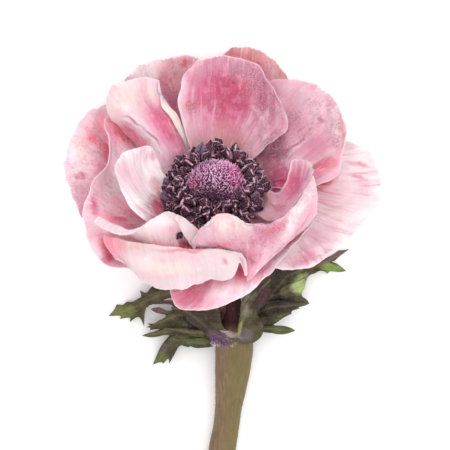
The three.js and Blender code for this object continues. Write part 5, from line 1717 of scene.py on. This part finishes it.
def makeLeaf(node, leaf, number):
    chance = random.Random(leafMake["seed"] + number)
    swells = leafSwells(chance)
    left, front, right, back = leaf["corners"]
    across = np.linspace(left, right, int((right - left) / leafMake["cell"]))
    along = np.linspace(front, back, int((back - front) / leafMake["cell"]))
    x, y = np.meshgrid(across, along)
    z = np.maximum(bladeHeight(leaf, x, y, swells), leafMake["thickness"] / 2)
    piece = gridPiece(node + ".fine", np.stack([x + receptacle[0], y + receptacle[1], z], axis=-1))
    thickened(piece, leafMake["thickness"])
    for outline, operation in ((leaf["outline"], "INTERSECT"), (leaf["gap"], "DIFFERENCE")):
        if outline is None:
            continue
        edge = [point + receptacle[:2] for point in lobed(outline)]
        prism = leafPrism(edge, leafMake["cutterLow"], leafMake["cutterHigh"])
        cut = piece.modifiers.new("cut", "BOOLEAN")
        cut.operation = operation
        cut.object = prism
        applyModifiers(piece)
        bpy.data.objects.remove(prism)
    veined(piece, leaf["veins"])
    parts = [piece]
    for k, (spine, widths, lift) in enumerate(leaf["leaflets"]):
        name = node + ".leaflet" + str(k)
        parts.append(makeLeaflet(name, leaf, swells, spine, widths, lift, chance))
    chosen(*parts)
    bpy.ops.object.join()
    wear(piece, leafFinish(node + ".skin", leaf["washes"]))
    smoothed(piece, 40)
    mounted(piece, leaf["slot"], node)


def makeLeaves():
    for number, (node, leaf) in enumerate(leaves.items()):
        makeLeaf(node, leaf, number)
    print("leaves made")


makeLeaves()

# Hairs: a short down on the scape, the pedicel and the collar of leaves, and a pale fringe at the
# collar. They stand round the stem's upper side, lean ahead along it, and are sunk a little into
# it.

hairs = {
    "seed": 23, "radius": 0.025, "points": 4, "sides": 3, "sway": 0.35, "droop": 0.5, "lowest": 0.1,
    "scape": 300, "scapeFrom": 60.0, "pedicel": 16, "pedicelPast": 2, "long": 0.8,
    "lengths": (0.6, 1.2), "round": 1.9, "sunk": 0.08, "ahead": 0.4, "collar": 120,
    "collarLong": 1.05, "collarCentre": (0.2, 18.0, 10.6), "collarReach": (3.2, 1.9, 1.7),
    "fringe": 40, "fringeLong": 1.9, "fringeStart": (-0.9, 20.4, 12.2),
    "fringeEnd": (4.0, 19.0, 12.2), "fringeWay": (0.9, -0.4, 0.25),
    "stemShades": (hue(120, 98, 84), hue(176, 156, 140)),
    "collarShades": (hue(150, 112, 150), hue(214, 198, 196)),
}


def hairFinish(name, first, second):
    finish = Finish(name)
    colour = finish.tinted(first, second, finish.noise(finish.here, 0.5, 2.0), 0.4, 0.6)
    return finish.finished(colour, 0.7, Specular_IOR_Level=0.1)


def hairPath(root, outward, chance, long):
    bend = unit(outward + swayed(chance, hairs["sway"]))
    droop = unit(bend + swayed(chance, hairs["droop"]))
    share = np.linspace(0, 1, hairs["points"])[:, None]
    path = root + bend * long * share + (droop - bend) * long * 0.5 * share ** 2
    path[:, 2] = np.maximum(path[:, 2], hairs["lowest"])
    return path


def hairPiece(name, paths, slot, shadesOfHair):
    radii = [[hairs["radius"]] * hairs["points"]] * len(paths)
    piece = strands(name, paths, radii, hairs["sides"])
    wear(piece, hairFinish(name, *shadesOfHair))
    mounted(piece, slot)


def stemHairs(chance):
    places, radii, reached = stemStations()
    scapeEnd = reached[len(stem["scape"]) - 1]
    pedicelEnd = reached[len(stem["scape"]) + len(stem["pedicel"]) - 1]
    runs = (
        (hairs["scape"], hairs["scapeFrom"], scapeEnd),
        (hairs["pedicel"], scapeEnd + hairs["pedicelPast"], pedicelEnd),
    )
    paths = []
    for count, low, high in runs:
        for _ in range(count):
            at = chance.uniform(low, high)
            centre, ahead = curveThrough(places, [at / reached[-1], (at + 0.5) / reached[-1]])
            along = unit(ahead - centre)
            left = unit(np.cross(np.array([0.0, 0.0, 1.0]), along))
            turn = chance.uniform(-hairs["round"], hairs["round"])
            outward = left * math.sin(turn) + np.cross(along, left) * math.cos(turn)
            root = centre + outward * (np.interp(at, reached, radii) - hairs["sunk"])
            long = hairs["long"] * chance.uniform(*hairs["lengths"])
            paths.append(hairPath(root, outward + along * hairs["ahead"], chance, long))
    return paths


def collarHairs(chance):
    paths = []
    for _ in range(hairs["collar"]):
        aside, forward, upward = chance.gauss(0, 1), chance.gauss(0, 0.8), chance.gauss(0, 1)
        outward = unit(np.array([aside, -abs(forward), abs(upward)]))
        root = np.array(hairs["collarCentre"]) + outward * hairs["collarReach"]
        paths.append(hairPath(root, outward, chance, hairs["collarLong"]))
    start, end = np.array(hairs["fringeStart"]), np.array(hairs["fringeEnd"])
    for _ in range(hairs["fringe"]):
        root = start + (end - start) * chance.random()
        paths.append(hairPath(root, np.array(hairs["fringeWay"]), chance, hairs["fringeLong"]))
    return paths


def makeHairs():
    chance = random.Random(hairs["seed"])
    hairPiece("stem.hairs", stemHairs(chance), "stem", hairs["stemShades"])
    hairPiece("leaf_front.hairs", collarHairs(chance), "leaf_bright", hairs["collarShades"])
    print("hairs made")


makeHairs()

# Surface, light and camera. The camera looks straight down on the flower. A lamp is name, place,
# size, power.

studio = {
    "floor": 3.0, "floorDrop": 0.0001, "floorColour": (0.97, 0.97, 0.97, 1), "sky": 1.07,
    "lamps": [("keyLight", (0.05, -0.2, 1.3), 1.2, 6.2), ("fillLight", (0.7, 0.6, 0.8), 1.0, 3.1)],
    "cameraHeight": 2.5, "frameWidth": 0.120, "sensor": 36, "aim": (0.0005, 0.0486, 0.02),
    "farthest": 20,
}


def makeStudio():
    deselectAll()
    bpy.ops.mesh.primitive_plane_add(size=studio["floor"], location=(0, 0, -studio["floorDrop"]))
    floor = named("floor")
    bpy.ops.object.transform_apply(location=True)
    wear(floor, Finish("floorPaper").finished(studio["floorColour"], 0.9))
    world = bpy.data.worlds.new("softRoom")
    bpy.context.scene.world = world
    world.use_nodes = True
    background = world.node_tree.nodes["Background"].inputs
    background["Color"].default_value = (1, 1, 1, 1)
    background["Strength"].default_value = studio["sky"]
    aim = Vector(studio["aim"])
    for name, place, size, power in studio["lamps"]:
        light = bpy.data.lights.new(name, "AREA")
        light.size = size
        light.energy = power
        lamp = linked(name, light)
        lamp.location = place
        lamp.rotation_euler = (aim - Vector(place)).to_track_quat("-Z", "Y").to_euler()
    camera = bpy.data.cameras.new("camera")
    camera.sensor_width = studio["sensor"]
    camera.lens = camera.sensor_width * studio["cameraHeight"] / studio["frameWidth"]
    camera.clip_end = studio["farthest"]
    eye = linked("camera", camera)
    eye.location = aim + Vector((0, 0, studio["cameraHeight"]))
    eye.rotation_euler = (0, 0, 0)
    bpy.context.scene.camera = eye
    bpy.context.scene.view_settings.view_transform = "Standard"
    print("studio made")


makeStudio()
